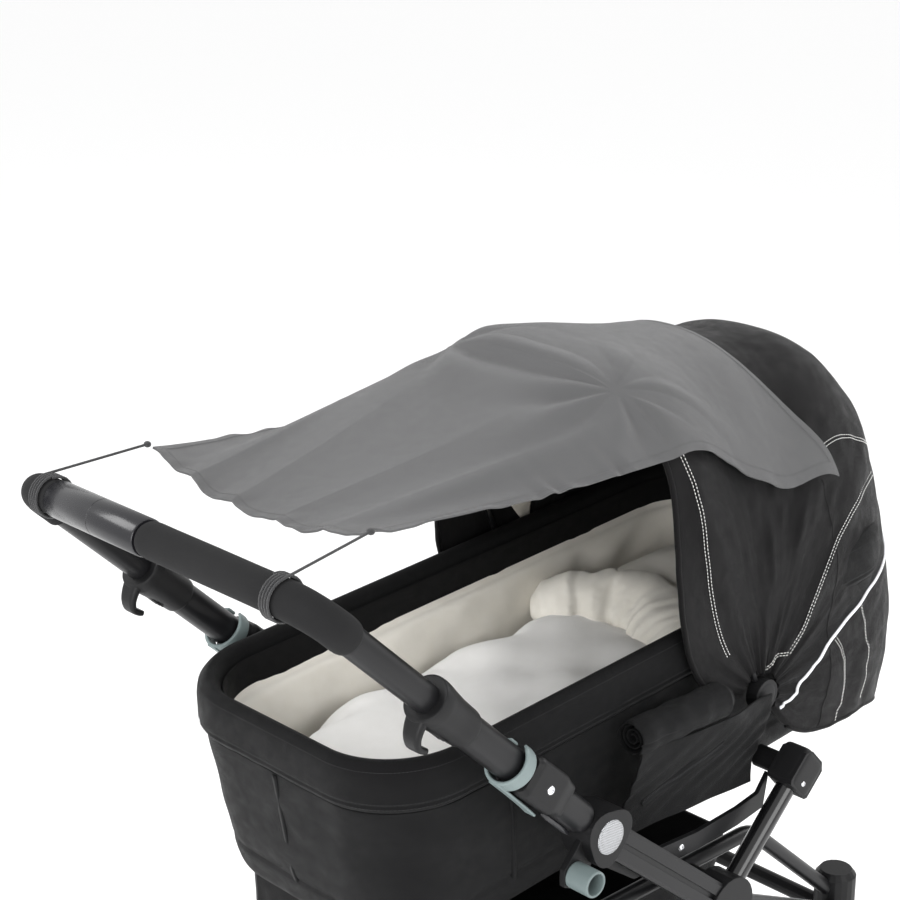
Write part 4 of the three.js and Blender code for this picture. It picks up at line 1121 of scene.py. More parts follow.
# ---------- telescope ----------
@dataclass
class Telescope:
    """The outer tube with its flared trigger collar and the grey latch over its housing."""

    outer_radius: float = 0.019
    outer_start: float = 0.206
    collar_start: float = 0.191
    collar_end: float = 0.262
    latch_start: float = 0.346
    housing_start: float = 0.370
    housing_end: float = 0.432

    def _tube(self, side: Side) -> None:
        """The outer tube down to the hub."""
        hub_gap = 0.0365
        length = math.dist(PLANE.bend, PLANE.hub)
        path = np.stack([PLANE.on_handle(side, s) for s in np.linspace(self.outer_start, length - hub_gap,
                                                                       24)])
        tube = tube_piece(f"outer_tube_skin_{side.label}", path, self.outer_radius, PALETTE.paint, (1, 0, 0),
                          40)
        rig.replaces(tube, f"outer_tube_{side.label}")
        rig.ride(tube, "chassis")

    def _collar(self, side: Side) -> None:
        """The flared collar turned about the tube, with a curved finger tab under it."""
        along = PLANE.heading(PLANE.bend, PLANE.hub)
        span = self.collar_end - self.collar_start
        outline = spline([(0.0, 0.0200), (0.0, 0.0245), (0.002, 0.0262), (0.012, 0.0264), (0.022, 0.0252),
                          (0.045, 0.0226), (span - 0.002, 0.0216), (span, 0.0204), (span, 0.0196)], 60)
        flare = turned_piece(f"trigger_flare_{side.label}", outline, PLANE.on_handle(side, self.collar_start),
                             along,
                             PALETTE.plastic, 56)
        tip = spline([(0.196, 0.020), (0.199, 0.030), (0.204, 0.039), (0.212, 0.0445), (0.222, 0.0435),
                      (0.229, 0.040)], 30)
        path = np.stack([PLANE.on_handle(side, s, n) for s, n in tip])
        size = np.interp(np.linspace(0, 1, 30), [0, 0.5, 0.9, 1], [1.3, 1.0, 0.75, 0.35])
        tab = ring_piece(f"trigger_tab_{side.label}",
                         swept_rings(path, round_box(0.0042, 0.0105, 0.0036, 32), (1, 0, 0), size),
                         PALETTE.plastic)
        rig.replaces(flare, f"trigger_collar_{side.label}")
        for piece in (flare, tab):
            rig.ride(piece, f"trigger_{side.label}")
        ridge = [swept_rings(np.stack([PLANE.on_handle(side, s, 0.0225) + np.array([x, 0, 0])
                                       for s in np.linspace(0.214, 0.246, 10)]),
                             round_box(0.0008, 0.0012, 0.0006, 12), (1, 0, 0)) for x in (-0.006, 0.0, 0.006)]
        parts = [capped(r) for r in ridge]
        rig.ride(joined(f"trigger_ridges_{side.label}", PALETTE.plastic, parts), f"trigger_{side.label}")

    def _latch(self, side: Side) -> None:
        """A grey C-shaped band, open on top, with a flat tongue down the back of the housing."""
        along = PLANE.heading(PLANE.bend, PLANE.hub)
        down = np.array([0.0, along[2], -along[1]])
        centre = PLANE.on_handle(side, self.latch_start + 0.009)
        turn = np.linspace(math.radians(-157), math.radians(157), 70)[:, None]
        path = centre + 0.0247 * (np.cos(turn) * down + np.sin(turn) * np.array([1.0, 0, 0]))
        ease_in = np.clip(np.minimum(np.linspace(0, 14, 70), np.linspace(14, 0, 70)), 0, 1)
        band = ring_piece(f"latch_band_{side.label}",
                          swept_rings(path, round_box(0.0022, 0.009, 0.0018, 32), along, 0.75
                                      + 0.25 * ease(ease_in)),
                          PALETTE.grey)
        tip = np.stack([PLANE.on_handle(side, s, n) for s, n in spline([(0.348, 0.0262), (0.38, 0.0265),
                                                                         (0.410, 0.0274), (0.424, 0.0285)],
                                                                       24)])
        tongue = ring_piece(f"latch_tongue_{side.label}",
                            swept_rings(tip, round_box(0.0014, 0.0078, 0.0012, 28), (1, 0, 0)), PALETTE.grey)
        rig.replaces(band, f"latch_lever_{side.label}")
        for piece in (band, tongue):
            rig.ride(piece, f"latch_{side.label}")

    def _housing(self, side: Side) -> None:
        """The black housing: a rounded block along the tube that runs out in a wedge, with a screw."""
        along = PLANE.heading(PLANE.bend, PLANE.hub)
        down = np.array([0.0, along[2], -along[1]])
        s = np.linspace(self.housing_start, self.housing_end + 0.012, 40)
        share = (s - s[0]) / (s[-1] - s[0])
        grow = ease(np.minimum(share / 0.09, (1 - share) / 0.3))
        section = round_box(0.0248, 0.0238, 0.009, 56)
        path = np.stack([PLANE.on_handle(side, k, -0.0018 * t) for k, t in zip(s, share)])
        bore = np.stack([PLANE.on_handle(side, k) for k in s])
        walls = np.concatenate([swept_rings(path, section, down, 0.86 + 0.14 * grow),
                                swept_rings(bore, circle(0.0192, 56), down)[::-1]])
        block = ring_piece(f"latch_housing_body_{side.label}", walls, PALETTE.plastic, wrap_rows=True,
                           sharp=35)
        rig.replaces(block, f"latch_housing_{side.label}")
        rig.ride(block, "chassis")
        face = PLANE.on_handle(side, 0.404) + np.array([side.value * 0.0246, 0, 0])
        screw(f"housing_screw_{side.label}", face, (side.value, 0, 0), 0.0052)
        fin = np.stack([PLANE.on_handle(side, k, 0.0215) for k in np.linspace(0.440, 0.500, 20)])
        blade = ring_piece(f"guide_fin_{side.label}",
                           swept_rings(fin, round_box(0.003, 0.0035, 0.0018, 24), (1, 0, 0),
                                       np.interp(np.linspace(0, 1, 20), [0, 0.15, 0.8, 1], [0.4, 1, 1, 0.3])),
                           PALETTE.sleeve)
        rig.ride(blade, "chassis")

    def build(self) -> None:
        """Both sides' telescopes."""
        for side in SIDES:
            self._tube(side)
            self._collar(side)
            self._latch(side)
            self._housing(side)
        log.info("telescopes")


def screw(name: str, at: Array, axis: Sequence[float], radius: float, body: str = "chassis") -> Piece:
    """A domed screw head with a round socket, standing on a face."""
    dome = [(-0.0006, radius), (0.0004, radius), (0.0012, radius * 0.93), (0.0018, radius * 0.72),
            (0.0019, radius * 0.5), (0.0006, radius * 0.46), (0.0004, radius * 0.05)]
    piece = turned_piece(name, dome, at, axis, PALETTE.chrome, 24)
    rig.ride(piece, body)
    return piece


# ---------- side frame ----------
@dataclass
class SideFrame:
    """The hub with its reflector and socket, the crossed tubes, and the carrycot's bracket and rail."""

    hub_radius: float = 0.036
    hub_inside: float = 0.214
    hub_outside: float = 0.260

    def _hub(self, side: Side) -> None:
        """A rounded-triangle hub with a soft rim and a shallow bezel round the reflector."""
        a = np.arange(96) / 96 * 2 * math.pi
        r = self.hub_radius - 0.003 + 0.003 * np.cos(3 * (a - 0.35))
        profile = spline([(0.0, 0.02), (0.0, 0.2), (0.0, 0.92), (0.002, 0.985), (0.006, 1.0), (0.038, 1.0),
                          (0.0435, 0.97), (0.0455, 0.9), (0.046, 0.78), (0.0457, 0.66), (0.0442, 0.61),
                          (0.0442, 0.3), (0.0442, 0.02)], 90)
        x = side.value * (self.hub_inside + profile[:, :1])
        rings = np.stack([x + 0 * a, PLANE.hub[0] + profile[:, 1:] * r * np.cos(a),
                          PLANE.hub[1] + profile[:, 1:] * r * np.sin(a)], -1)
        shell = ring_piece(f"hub_cover_{side.label}", rings, PALETTE.plastic, sharp=50)
        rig.ride(shell, "chassis")
        lens = turned_piece(f"honeycomb_lens_{side.label}",
                            [(0.0, 0.0198), (0.0012, 0.0202), (0.0026, 0.0196), (0.0036, 0.015),
                             (0.0042, 0.008),
                             (0.0044, 0.0004)],
                            (side.value * (self.hub_outside - 0.0015), *PLANE.hub), (side.value, 0, 0),
                            PALETTE.reflector, 56)
        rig.replaces(lens, f"reflector_{side.label}")
        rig.ride(lens, "chassis")
        screw(f"socket_screw_{side.label}", np.array([side.value * 0.2475, -0.172, 0.648]),
              (side.value, 0, 0), 0.0042)

    def _socket(self, side: Side) -> None:
        """The open grey socket: a short pipe with rolled edges."""
        profile = [(0.0, 0.0125), (0.0, 0.0148), (0.0015, 0.0152), (0.027, 0.0152), (0.0300, 0.0147),
                   (0.031, 0.0136),
                   (0.0302, 0.0124), (0.028, 0.012), (0.0015, 0.012)]
        p = spline(profile, 60, closed=True)
        a = np.arange(48) / 48 * 2 * math.pi
        rings = np.stack([side.value * (0.247 + p[:, :1]) + 0 * a, -0.190 + p[:, 1:] * np.cos(a),
                          0.654 + p[:, 1:] * np.sin(a)], -1)
        pipe = ring_piece(f"grey_socket_{side.label}", rings, PALETTE.grey, wrap_rows=True)
        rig.replaces(pipe, f"accessory_socket_{side.label}")
        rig.ride(pipe, "chassis")

    def _tubes(self, side: Side) -> None:
        """The glossy cross tube and the front leg as round bars."""
        x = side.value * PLANE.tube_x
        low, high = PLANE.point(x, PLANE.rear_axle), PLANE.point(x, PLANE.bracket)
        run = unit(high - low)
        path = np.linspace(low + run * 0.013, high - run * 0.008, 40)
        tube = tube_piece(f"cross_tube_skin_{side.label}", path, 0.0125, PALETTE.gloss, (1, 0, 0), 40)
        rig.replaces(tube, f"cross_tube_{side.label}")
        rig.ride(tube, "chassis")
        top, foot = PLANE.point(x, PLANE.crossing), np.array([side.value * 0.188, 0.388, 0.340])
        run = unit(foot - top)
        leg = tube_piece(f"front_leg_skin_{side.label}",
                         np.linspace(top + run * 0.040, foot - run * 0.021, 24),
                         0.014, PALETTE.paint, (1, 0, 0), 40)
        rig.replaces(leg, f"front_leg_{side.label}")
        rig.ride(leg, "chassis")

    def _bracket(self, side: Side) -> None:
        """Screws and snaps on the bracket and the rail, and the domed release button."""
        along = PLANE.heading(PLANE.crossing, PLANE.bracket)
        out = np.array([0.0, along[2], -along[1]])
        centre = PLANE.point(side.value * PLANE.tube_x, PLANE.bracket)
        knob = turned_piece(f"release_knob_{side.label}",
                            [(0.0195, 0.0003), (0.0195, 0.0040), (0.0265, 0.0044), (0.0288, 0.0040),
                             (0.0298, 0.0028),
                             (0.0301, 0.0004)], centre, out, PALETTE.plastic, 28)
        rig.replaces(knob, f"release_button_{side.label}")
        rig.ride(knob, f"button_{side.label}")
        cap = soft_block(f"bracket_cap_{side.label}", centre + along * 0.001,
                         (np.array([1.0, 0, 0]), along, out),
                         (0.0192, 0.0262, 0.0243), PALETTE.plastic, 6.5, 36)
        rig.ride(cap, "chassis")
        screw(f"bracket_screw_{side.label}", centre + np.array([side.value * 0.0188, 0, 0]) - along * 0.012,
              (side.value, 0, 0), 0.0034)
        for k, (y, z) in enumerate(((0.030, 0.587), (-0.090, 0.632))):
            screw(f"rail_snap_{side.label}_{k}", np.array([side.value * 0.2112, y, z]), (side.value, 0, 0),
                  0.0046)

    def build(self) -> None:
        """Both sides' frames."""
        for side in SIDES:
            self._hub(side)
            self._socket(side)
            self._tubes(side)
            self._bracket(side)
        log.info("side frames")


# ---------- wheels ----------
@dataclass
class Wheels:
    """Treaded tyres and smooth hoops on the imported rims."""

    width: float = 0.042
    treads: int = 56
    steps_per_tread: int = 6
    tread_depth: float = 0.0022
    rear: tuple[float, float, float, float] = (0.286, -0.306, 0.150, 0.150)
    front: tuple[float, float, float, float] = (0.180, 0.343, 0.138, 0.138)

    def _tyre(self, label: str, x: float, y: float, z: float, radius: float, body: str) -> None:
        """A tyre with blocks of tread.

        The section is a closed curve turned about the axle. Grooves cut the tread where
        a cosine with one turn for each tread, set off by half a turn from side to side,
        falls below zero.
        """
        half, seat = self.width / 2, radius - 0.026
        section = spline([(-half + 0.007, seat), (-half + 0.001, seat + 0.005), (-half, radius - 0.014),
                          (-half + 0.004, radius - 0.005), (-half + 0.010, radius - 0.0012), (0, radius),
                          (half - 0.010, radius - 0.0012), (half - 0.004, radius - 0.005),
                          (half, radius - 0.014),
                          (half - 0.001, seat + 0.005), (half - 0.007, seat), (0, seat)], 72, closed=True)
        steps = self.treads * self.steps_per_tread
        a = np.arange(steps) / steps * 2 * math.pi
        across = section[:, :1]
        crown = ease((section[:, 1:] - (radius - 0.009)) / 0.005)
        block = np.cos(self.treads * a + 3.5 * np.abs(across) / half + np.pi * (across > 0))
        groove = ease((-block + 0.35) / 0.5) * crown * self.tread_depth
        centre_groove = bell(across, 0.0, 0.0016) * crown * 0.0020 + 0 * a
        r = section[:, 1:] - np.maximum(groove, centre_groove)
        rings = np.stack([x + across + 0 * a, y + r * np.cos(a), z + r * np.sin(a)], -1)
        tyre = ring_piece(f"treaded_tyre_{label}", rings, PALETTE.tyre, wrap_rows=True)
        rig.replaces(tyre, f"{label}_tyre")
        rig.ride(tyre, body)
        edge = seat - 0.0006
        hoop = spline([(-0.0135, edge - 0.010), (-0.0150, edge - 0.003), (-0.0140, edge), (0.0140, edge),
                       (0.0150, edge - 0.003), (0.0135, edge - 0.010)], 36, closed=True)
        b = np.arange(160) / 160 * 2 * math.pi
        rings = np.stack([x + hoop[:, :1] + 0 * b, y + hoop[:, 1:] * np.cos(b), z + hoop[:, 1:] * np.sin(b)],
                         -1)
        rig.ride(ring_piece(f"rim_hoop_{label}", rings, PALETTE.rim, wrap_rows=True), body)

    def build(self) -> None:
        """All four wheels' tyres and hoops."""
        for side in SIDES:
            s = side.value
            for kind, (x, y, z, r) in (("rear", self.rear), ("front", self.front)):
                label = f"{kind}_wheel_{side.label}"
                self._tyre(label, s * x, y, z, r, label)
        log.info("wheels")


# ---------- basket ----------
@dataclass
class Basket:
    """The black fabric basket hung from its tube frame."""

    half_x: float = 0.167
    top: float = 0.522
    floor: float = 0.352
    front: float = 0.199
    back: float = -0.290

    def build(self) -> None:
        """The frame as a smooth tube, and the tub with sagging walls, a rolled hem and a tall rear lip.

        A tub ring is a rounded rectangle whose size falls with depth. The walls bow in by
        a sine of the depth between the frame's holds, with creases of seeded noise.
        """
        x, z, y0, y1 = 0.180, 0.533, self.back, self.front
        points = [(x, 0.388, 0.367), (x, y1, z), (x, y0, z), (-x, y0, z), (-x, y1, z), (-x, 0.388, 0.367)]
        path = bent_path(points, 0.055)
        run = unit(path[1] - path[0])
        path[0] += run * 0.022
        path[-1] += unit(path[-2] - path[-1]) * 0.022
        path = resampled(path, 220)
        rail = tube_piece("basket_frame_skin", path, 0.010, PALETTE.paint, (0.31, 0.2, 1.0), 28)
        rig.replaces(rail, "basket_frame")
        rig.ride(rail, "chassis")

        middle, half = (y0 + y1) / 2 - 0.009, (y1 - y0) / 2 + 0.006
        n, depth_steps = 280, 40
        depth = np.concatenate([np.linspace(0, 1, depth_steps), np.linspace(1, 0, depth_steps)])
        inner = np.arange(2 * depth_steps) >= depth_steps
        rings = []
        for k, d in enumerate(depth):
            inset = 0.022 * d**1.4 + (0.0035 if inner[k] else 0.0)
            ring, out = rounded_ring(self.half_x - inset, half - inset, 0.05 - 0.2 * inset, n)
            s = np.arange(n) / n * 40
            sag = 0.010 * math.sin(math.pi * min(1.0, d)) * (0.6 + 0.4 * ripple(s / 3, np.zeros(n), 21))
            crease = 0.0022 * ripple(s, np.full(n, d * 5), 22) * math.sin(math.pi * d)
            hem = 0.0018 * float(bell(np.array(d), 0.05, 0.05))
            ring = ring - out * (sag - crease - (0 if inner[k] else hem))[:, None]
            level = self.top + (self.floor - self.top) * d + (0.003 if inner[k] and d > 0.9 else 0.0)
            rings.append(np.column_stack([ring[:, 0], ring[:, 1] + middle, np.full(n, level)]))
        grid = np.stack(rings)
        shrink = np.linspace(1, 0.02, 24)[1:, None, None]
        outer_floor = grid[depth_steps - 1] * np.array([1, 1, 0])
        centre = np.array([0, middle, 0])
        base = outer_floor - centre
        wave = 0.004 * ripple(base[None, :, 0] * shrink[..., 0] * 30, base[None, :, 1] * shrink[..., 0] * 30,
                              8)
        bottom = centre + base[None] * shrink + np.stack([0 * wave, 0 * wave, self.floor - 0.002
                                                          + wave * 0.5], -1)
        inside = bottom[::-1] + np.array([0, 0, 0.003])
        whole = np.concatenate([bottom[::-1], grid[:depth_steps][::-1], grid[depth_steps:][::-1],
                                inside[::-1]])
        tub = ring_piece("basket_cloth", whole, PALETTE.cot)
        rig.replaces(tub, "basket")
        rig.ride(tub, "chassis")

        u = np.linspace(-1, 1, 70)[None, :]
        v = np.linspace(0, 1, 26)[:, None]
        lip_half = 0.162 - 0.022 * ease((v - 0.55) / 0.45) ** 1.5
        px = lip_half * u
        pz = self.top - 0.038 + 0.076 * v - 0.004 * np.cos(u * math.pi) * v
        py = middle - half - 0.001 + 0.0016 * ripple(u * 6, v * 3, 5) - 0.002 * np.sin(math.pi * v) + 0 * u
        face = np.stack([px, py + 0.004, pz + 0 * u], -1)
        lip = slab_piece("basket_lip", face - np.array([0, 0.0035, 0]), face, PALETTE.cot)
        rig.ride(lip, "chassis")
        rim_line = np.concatenate([face[:, 0], face[-1, 1:-1], face[::-1, -1]]) - np.array([0, 0.0018, 0])
        trim = ring_piece("basket_lip_trim",
                          swept_rings(resampled(rim_line, 140), circle(0.0026, 12), (0, 1, 0)),
                          PALETTE.sleeve)
        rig.ride(trim, "chassis")
        log.info("basket")


# ---------- carrycot ----------
@dataclass
class Carrycot:
    """The carrycot's cloth shell, padded rim, gathered band and padded cream lining."""

    middle_y: float = 0.036
    rim_z: float = 0.850
    tilt: float = 0.071
    half_x: float = 0.196
    half_y: float = 0.450
    corner: float = 0.105
    rim_height: float = 0.058
    depth: float = 0.240
    ring_count: int = 480

    def place(self, local: Array) -> Array:
        """Points of the carrycot's own frame, tilted head-up, in the row frame."""
        a = math.atan(self.tilt)
        y, z = local[..., 1], local[..., 2]
        return np.stack([local[..., 0], y * math.cos(a) - z * math.sin(a) + self.middle_y,
                         y * math.sin(a) + z * math.cos(a) + self.rim_z], -1)

    def rings(self, profile: Array, push: Optional[Array] = None, lift: Optional[Array] = None) -> Array:
        """A profile of (inset, level, share of size) carried round the rounded rectangle.

        Args:
            profile: The (k, 3) profile.
            push: How far each (profile, ring) point moves outward.
            lift: How far each point moves up.

        Returns:
            A (k, ring, 3) array in the row frame.
        """
        n = self.ring_count
        rows = []
        for k, (inset, level, share) in enumerate(profile):
            ring, out = rounded_ring(self.half_x - inset, self.half_y - inset,
                                     max(0.03, self.corner - 0.6 * inset), n)
            moved = ring + (0 if push is None else out * push[k][:, None])
            height = level + (0 if lift is None else lift[k])
            rows.append(np.column_stack([moved * share, np.full(n, 1.0) * height]))
        return self.place(np.stack(rows))

    def _around(self) -> Array:
        """The distance round the carrycot at each ring point, in metres."""
        around = 4 * (self.half_x + self.half_y) - (8 - 2 * math.pi) * self.corner
        return np.arange(self.ring_count) / self.ring_count * around

    def _loop_noise(self, waves: float, row: float, seed: int) -> Array:
        """Noise that closes on itself round the carrycot."""
        a = np.arange(self.ring_count) / self.ring_count * 2 * math.pi
        r = waves / (2 * math.pi)
        return ripple(40 + r * np.cos(a), 40 + r * np.sin(a) + row, seed)

    def shell(self) -> None:
        """The outer cloth: a bowl with a seam line, shallow wrinkles and a soft belly."""
        walls = spline([(0.034, -0.2400), (0.027, -0.228), (0.020, -0.190), (0.0135, -0.130),
                        (0.0085, -0.085),
                        (0.0062, -0.0600)], 46)
        inner = spline([(0.014, -0.0598), (0.026, -0.10), (0.038, -0.18), (0.043, -0.224)], 20)
        floor_out = [(0.034, -0.2402, s) for s in np.linspace(0.04, 0.985, 14)]
        floor_in = [(0.043, -0.226, s) for s in np.linspace(0.985, 0.04, 14)]
        profile = np.array(floor_out + [(*p, 1.0) for p in walls] + [(*p, 1.0) for p in inner] + floor_in)
        push = np.zeros((len(profile), self.ring_count))
        for k in range(14, 14 + 46):
            level = profile[k, 1]
            under = math.exp(-(abs(level + 0.060)) / 0.055)
            belly = math.sin(math.pi * min(1.0, max(0.0, (level + 0.24) / 0.18)))
            push[k] = (0.0020 * belly * self._loop_noise(22, level * 4, 3)
                       + 0.0016 * under * self._loop_noise(95, level * 12, 5) * belly ** 0.4
                       + 0.0018 * belly * self._loop_noise(48, level * 26, 6))
            push[k] -= 0.0022 * float(bell(np.array(level), -0.200, 0.004))
        piece = ring_piece("cot_cloth", self.rings(profile, push), PALETTE.cot)
        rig.replaces(piece, "cot_shell")
        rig.ride(piece, "chassis")

    def rim(self) -> None:
        """The padded band along the top: a closed section with a sewn edge, and rows of stitches."""
        p = spline([(0.004, -0.0575), (0.0005, -0.050), (0.0002, -0.036), (0.0012, -0.020), (0.0045, -0.0075),
                    (0.0130, -0.0005), (0.0215, -0.0065), (0.0250, -0.020), (0.0262, -0.036),
                    (0.0250, -0.052),
                    (0.0225, -0.0577), (0.0120, -0.0580)], 72, closed=True)
        profile = np.column_stack([p, np.ones(72)])
        outer = ease((0.010 - p[:, 0]) / 0.008)
        pad = np.sin(math.pi * np.clip(-p[:, 1] / 0.058, 0, 1))
        push = np.stack([0.0008 * o * d * self._loop_noise(60, lv * 30, 9)
                         + 0.0007 * o * (1 - d) * self._loop_noise(160, lv * 10, 10)
                         - 0.0012 * o * float(bell(np.array(lv), -0.0485, 0.0018))
                         for o, d, lv in zip(outer, pad, p[:, 1])])
        band = ring_piece("padded_rim", self.rings(profile, push), PALETTE.cot, wrap_rows=True)
        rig.replaces(band, "cot_rim")
        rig.padded(band, fill=0.8)
        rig.ride(band, "chassis")
        rows = []
        for inset, level in ((0.0003, -0.0515), (0.0003, -0.0455), (0.0034, -0.0095)):
            line = self.rings(np.array([(inset, level, 1.0), (inset - 0.001, level, 1.0)]))
            normal = unit(line[1] - line[0])
            closed = np.concatenate([line[0], line[0][:1]])
            rows.append(stitches(closed, np.concatenate([normal, normal[:1]]), 0.0042, 0.00032))
        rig.ride(joined("rim_stitches", PALETTE.dark_thread, rows), "chassis")

    def seams(self) -> None:
        """Flat felled seams down the cloth at the foot end's corners, in the middle and by the sides."""
        meshes = []
        level = np.linspace(-0.062, -0.236, 30)
        wall = np.array([np.interp(lv, [-0.24, -0.19, -0.13, -0.06],
                                   [0.034, 0.020, 0.0135, 0.0062]) for lv in level])
        for share in (0.135, 0.365, 0.615, 0.885, 0.25, 0.75):
            k = int(share * self.ring_count)
            line = self.rings(np.column_stack([wall - 0.0012, level, np.ones(30)]))[:, k]
            lean = self.rings(np.column_stack([wall - 0.0022, level, np.ones(30)]))[:, k]
            normal = unit(lean - line)
            side = unit(np.cross(normal, np.gradient(line, axis=0)))
            out = np.stack([line + side * o + normal * h for o, h in
                            ((-0.004, -0.0022), (-0.0035, 0.0006), (0.0, 0.0010), (0.0035, 0.0006),
                             (0.004, -0.0022))], 1)
            meshes.append(capped(out))
        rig.ride(joined("cot_seams", PALETTE.cot, meshes), "chassis")

    def gathered_band(self) -> None:
        """The black band inside the rim, loosely gathered, with a scalloped lower edge."""
        p = spline([(0.0258, -0.020), (0.0270, -0.040), (0.0300, -0.062), (0.0335, -0.082), (0.0350, -0.0845),
                    (0.0360, -0.082), (0.0325, -0.060), (0.0290, -0.036), (0.0275, -0.019)], 54, closed=True)
        profile = np.column_stack([p, np.ones(54)])
        hang = ease((-p[:, 1] - 0.030) / 0.05)
        push = np.stack([-0.0036 * h * self._loop_noise(58, lv * 9, 31)
                         - 0.0014 * h * self._loop_noise(150, lv * 15, 32)
                         for h, lv in zip(hang, p[:, 1])])
        lift = np.stack([0.0045 * h * self._loop_noise(26, 0.0, 33) for h in hang])
        band = ring_piece("gathered_band", self.rings(profile, push, lift), PALETTE.cot, wrap_rows=True)
        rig.ride(band, "chassis")

    def lining(self) -> None:
        """The padded cream lining: a bowl with deep soft folds that lean down the walls."""
        top_in = spline([(0.031, -0.050), (0.0345, -0.055), (0.0440, -0.066), (0.0520, -0.110),
                         (0.0530, -0.160),
                         (0.060, -0.205)], 56)
        back = spline([(0.0455, -0.2165), (0.0420, -0.19), (0.0360, -0.12), (0.0300, -0.058)], 18)
        profile = np.array([(*p, 1.0) for p in top_in]
                           + [(0.060, -0.2055, s) for s in np.linspace(0.97, 0.05, 10)])
        under = np.array([(0.046, -0.2165, s) for s in np.linspace(0.05, 0.985, 10)]
                         + [(*p, 1.0) for p in back])
        full = np.concatenate([profile, under])
        push = np.zeros((len(full), self.ring_count))
        around = self._around()
        for k in range(56):
            level = full[k, 1]
            soft = float(ease(np.array((-level - 0.052) / 0.03))) * float(ease(np.array((level
                                                                                         + 0.212) / 0.03)))
            lean = around * 52 + level * 95
            push[k] = -soft * (0.0042 * self._loop_noise(62, level * 6, 41)
                               + 0.0030 * self._loop_noise(34, level * 22, 42)
                               + 0.0016 * np.sin(lean) * (0.5 + 0.5 * self._loop_noise(18, 3.0, 43)))
        piece = ring_piece("cot_lining", self.rings(full, push), PALETTE.lining, wrap_rows=True)
        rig.padded(piece, fill=0.5)
        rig.ride(piece, "chassis")

    def build(self) -> None:
        """All of the carrycot's own cloth."""
        self.shell()
        self.rim()
        self.seams()
        self.gathered_band()
        self.lining()
        log.info("carrycot")


def inflated(piece: Piece, voxel: float, cap: float, pressure: float = 4.0) -> Piece:
    """Swells a closed piece as stuffed cloth and leaves it as a plain mesh.

    The mesh is remeshed evenly, blown up by cloth simulation without gravity for 20
    steps, held to a largest move, and subdivided once.

    Args:
        piece: A closed mesh, not yet riding on anything.
        voxel: The even mesh's step.
        cap: The furthest that a point may move.
        pressure: How hard it is blown up.

    Returns:
        The same object with its new mesh.
    """
    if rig.quick():
        return piece
    scene = bpy.context.scene
    finish = piece.data.materials[0]
    remesh = piece.modifiers.new("even", "REMESH")
    remesh.mode, remesh.voxel_size = "VOXEL", voxel
    graph = bpy.context.evaluated_depsgraph_get()
    piece.data = bpy.data.meshes.new_from_object(piece.evaluated_get(graph))
    piece.modifiers.clear()
    rest = np.zeros(len(piece.data.vertices) * 3, np.float32)
    piece.data.vertices.foreach_get("co", rest)
    cloth = piece.modifiers.new("stuffing", "CLOTH")
    cloth.settings.use_pressure = True
    cloth.settings.uniform_pressure_force = pressure
    cloth.settings.effector_weights.gravity = 0.0
    cloth.settings.quality = 4
    cloth.point_cache.frame_start, cloth.point_cache.frame_end = 1, 20
    for step in range(1, 21):
        scene.frame_set(step)
    graph = bpy.context.evaluated_depsgraph_get()
    swollen = bpy.data.meshes.new_from_object(piece.evaluated_get(graph))
    moved = np.zeros(len(swollen.vertices) * 3, np.float32)
    swollen.vertices.foreach_get("co", moved)
    piece.modifiers.clear()
    scene.frame_set(1)
    shift = (moved - rest).reshape(-1, 3)
    far = np.linalg.norm(shift, axis=1, keepdims=True)
    shift *= np.minimum(1.0, cap / np.maximum(far, 1e-9))
    piece.data.vertices.foreach_set("co", (rest.reshape(-1, 3) + shift).ravel())
    smooth = piece.modifiers.new("smooth", "SUBSURF")
    smooth.levels = smooth.render_levels = 1
    graph = bpy.context.evaluated_depsgraph_get()
    final = bpy.data.meshes.new_from_object(piece.evaluated_get(graph))
    piece.modifiers.clear()
    piece.data = final
    final.materials.clear()
    final.materials.append(finish)
    final.polygons.foreach_set("use_smooth", np.ones(len(final.polygons), bool))
    spread_uv(final)
    return piece


def spread_uv(mesh: bpy.types.Mesh) -> None:
    """Texture points in metres for a remeshed piece: each face is laid flat along the axis it faces most."""
    points = np.zeros(len(mesh.vertices) * 3, np.float32)
    mesh.vertices.foreach_get("co", points)
    points = points.reshape(-1, 3)
    corner = np.zeros(len(mesh.loops), np.int32)
    mesh.loops.foreach_get("vertex_index", corner)
    sizes = np.zeros(len(mesh.polygons), np.int32)
    mesh.polygons.foreach_get("loop_total", sizes)
    normals = np.zeros(len(mesh.polygons) * 3, np.float32)
    mesh.polygons.foreach_get("normal", normals)
    most = np.repeat(np.argmax(np.abs(normals.reshape(-1, 3)), axis=1), sizes)
    at = points[corner]
    flat = np.where((most == 2)[:, None], at[:, :2], np.where((most == 0)[:, None], at[:, 1:], at[:, [0, 2]]))
    layer = mesh.uv_layers.new(name="Cloth")
    layer.data.foreach_set("uv", flat.astype(np.float32).ravel())


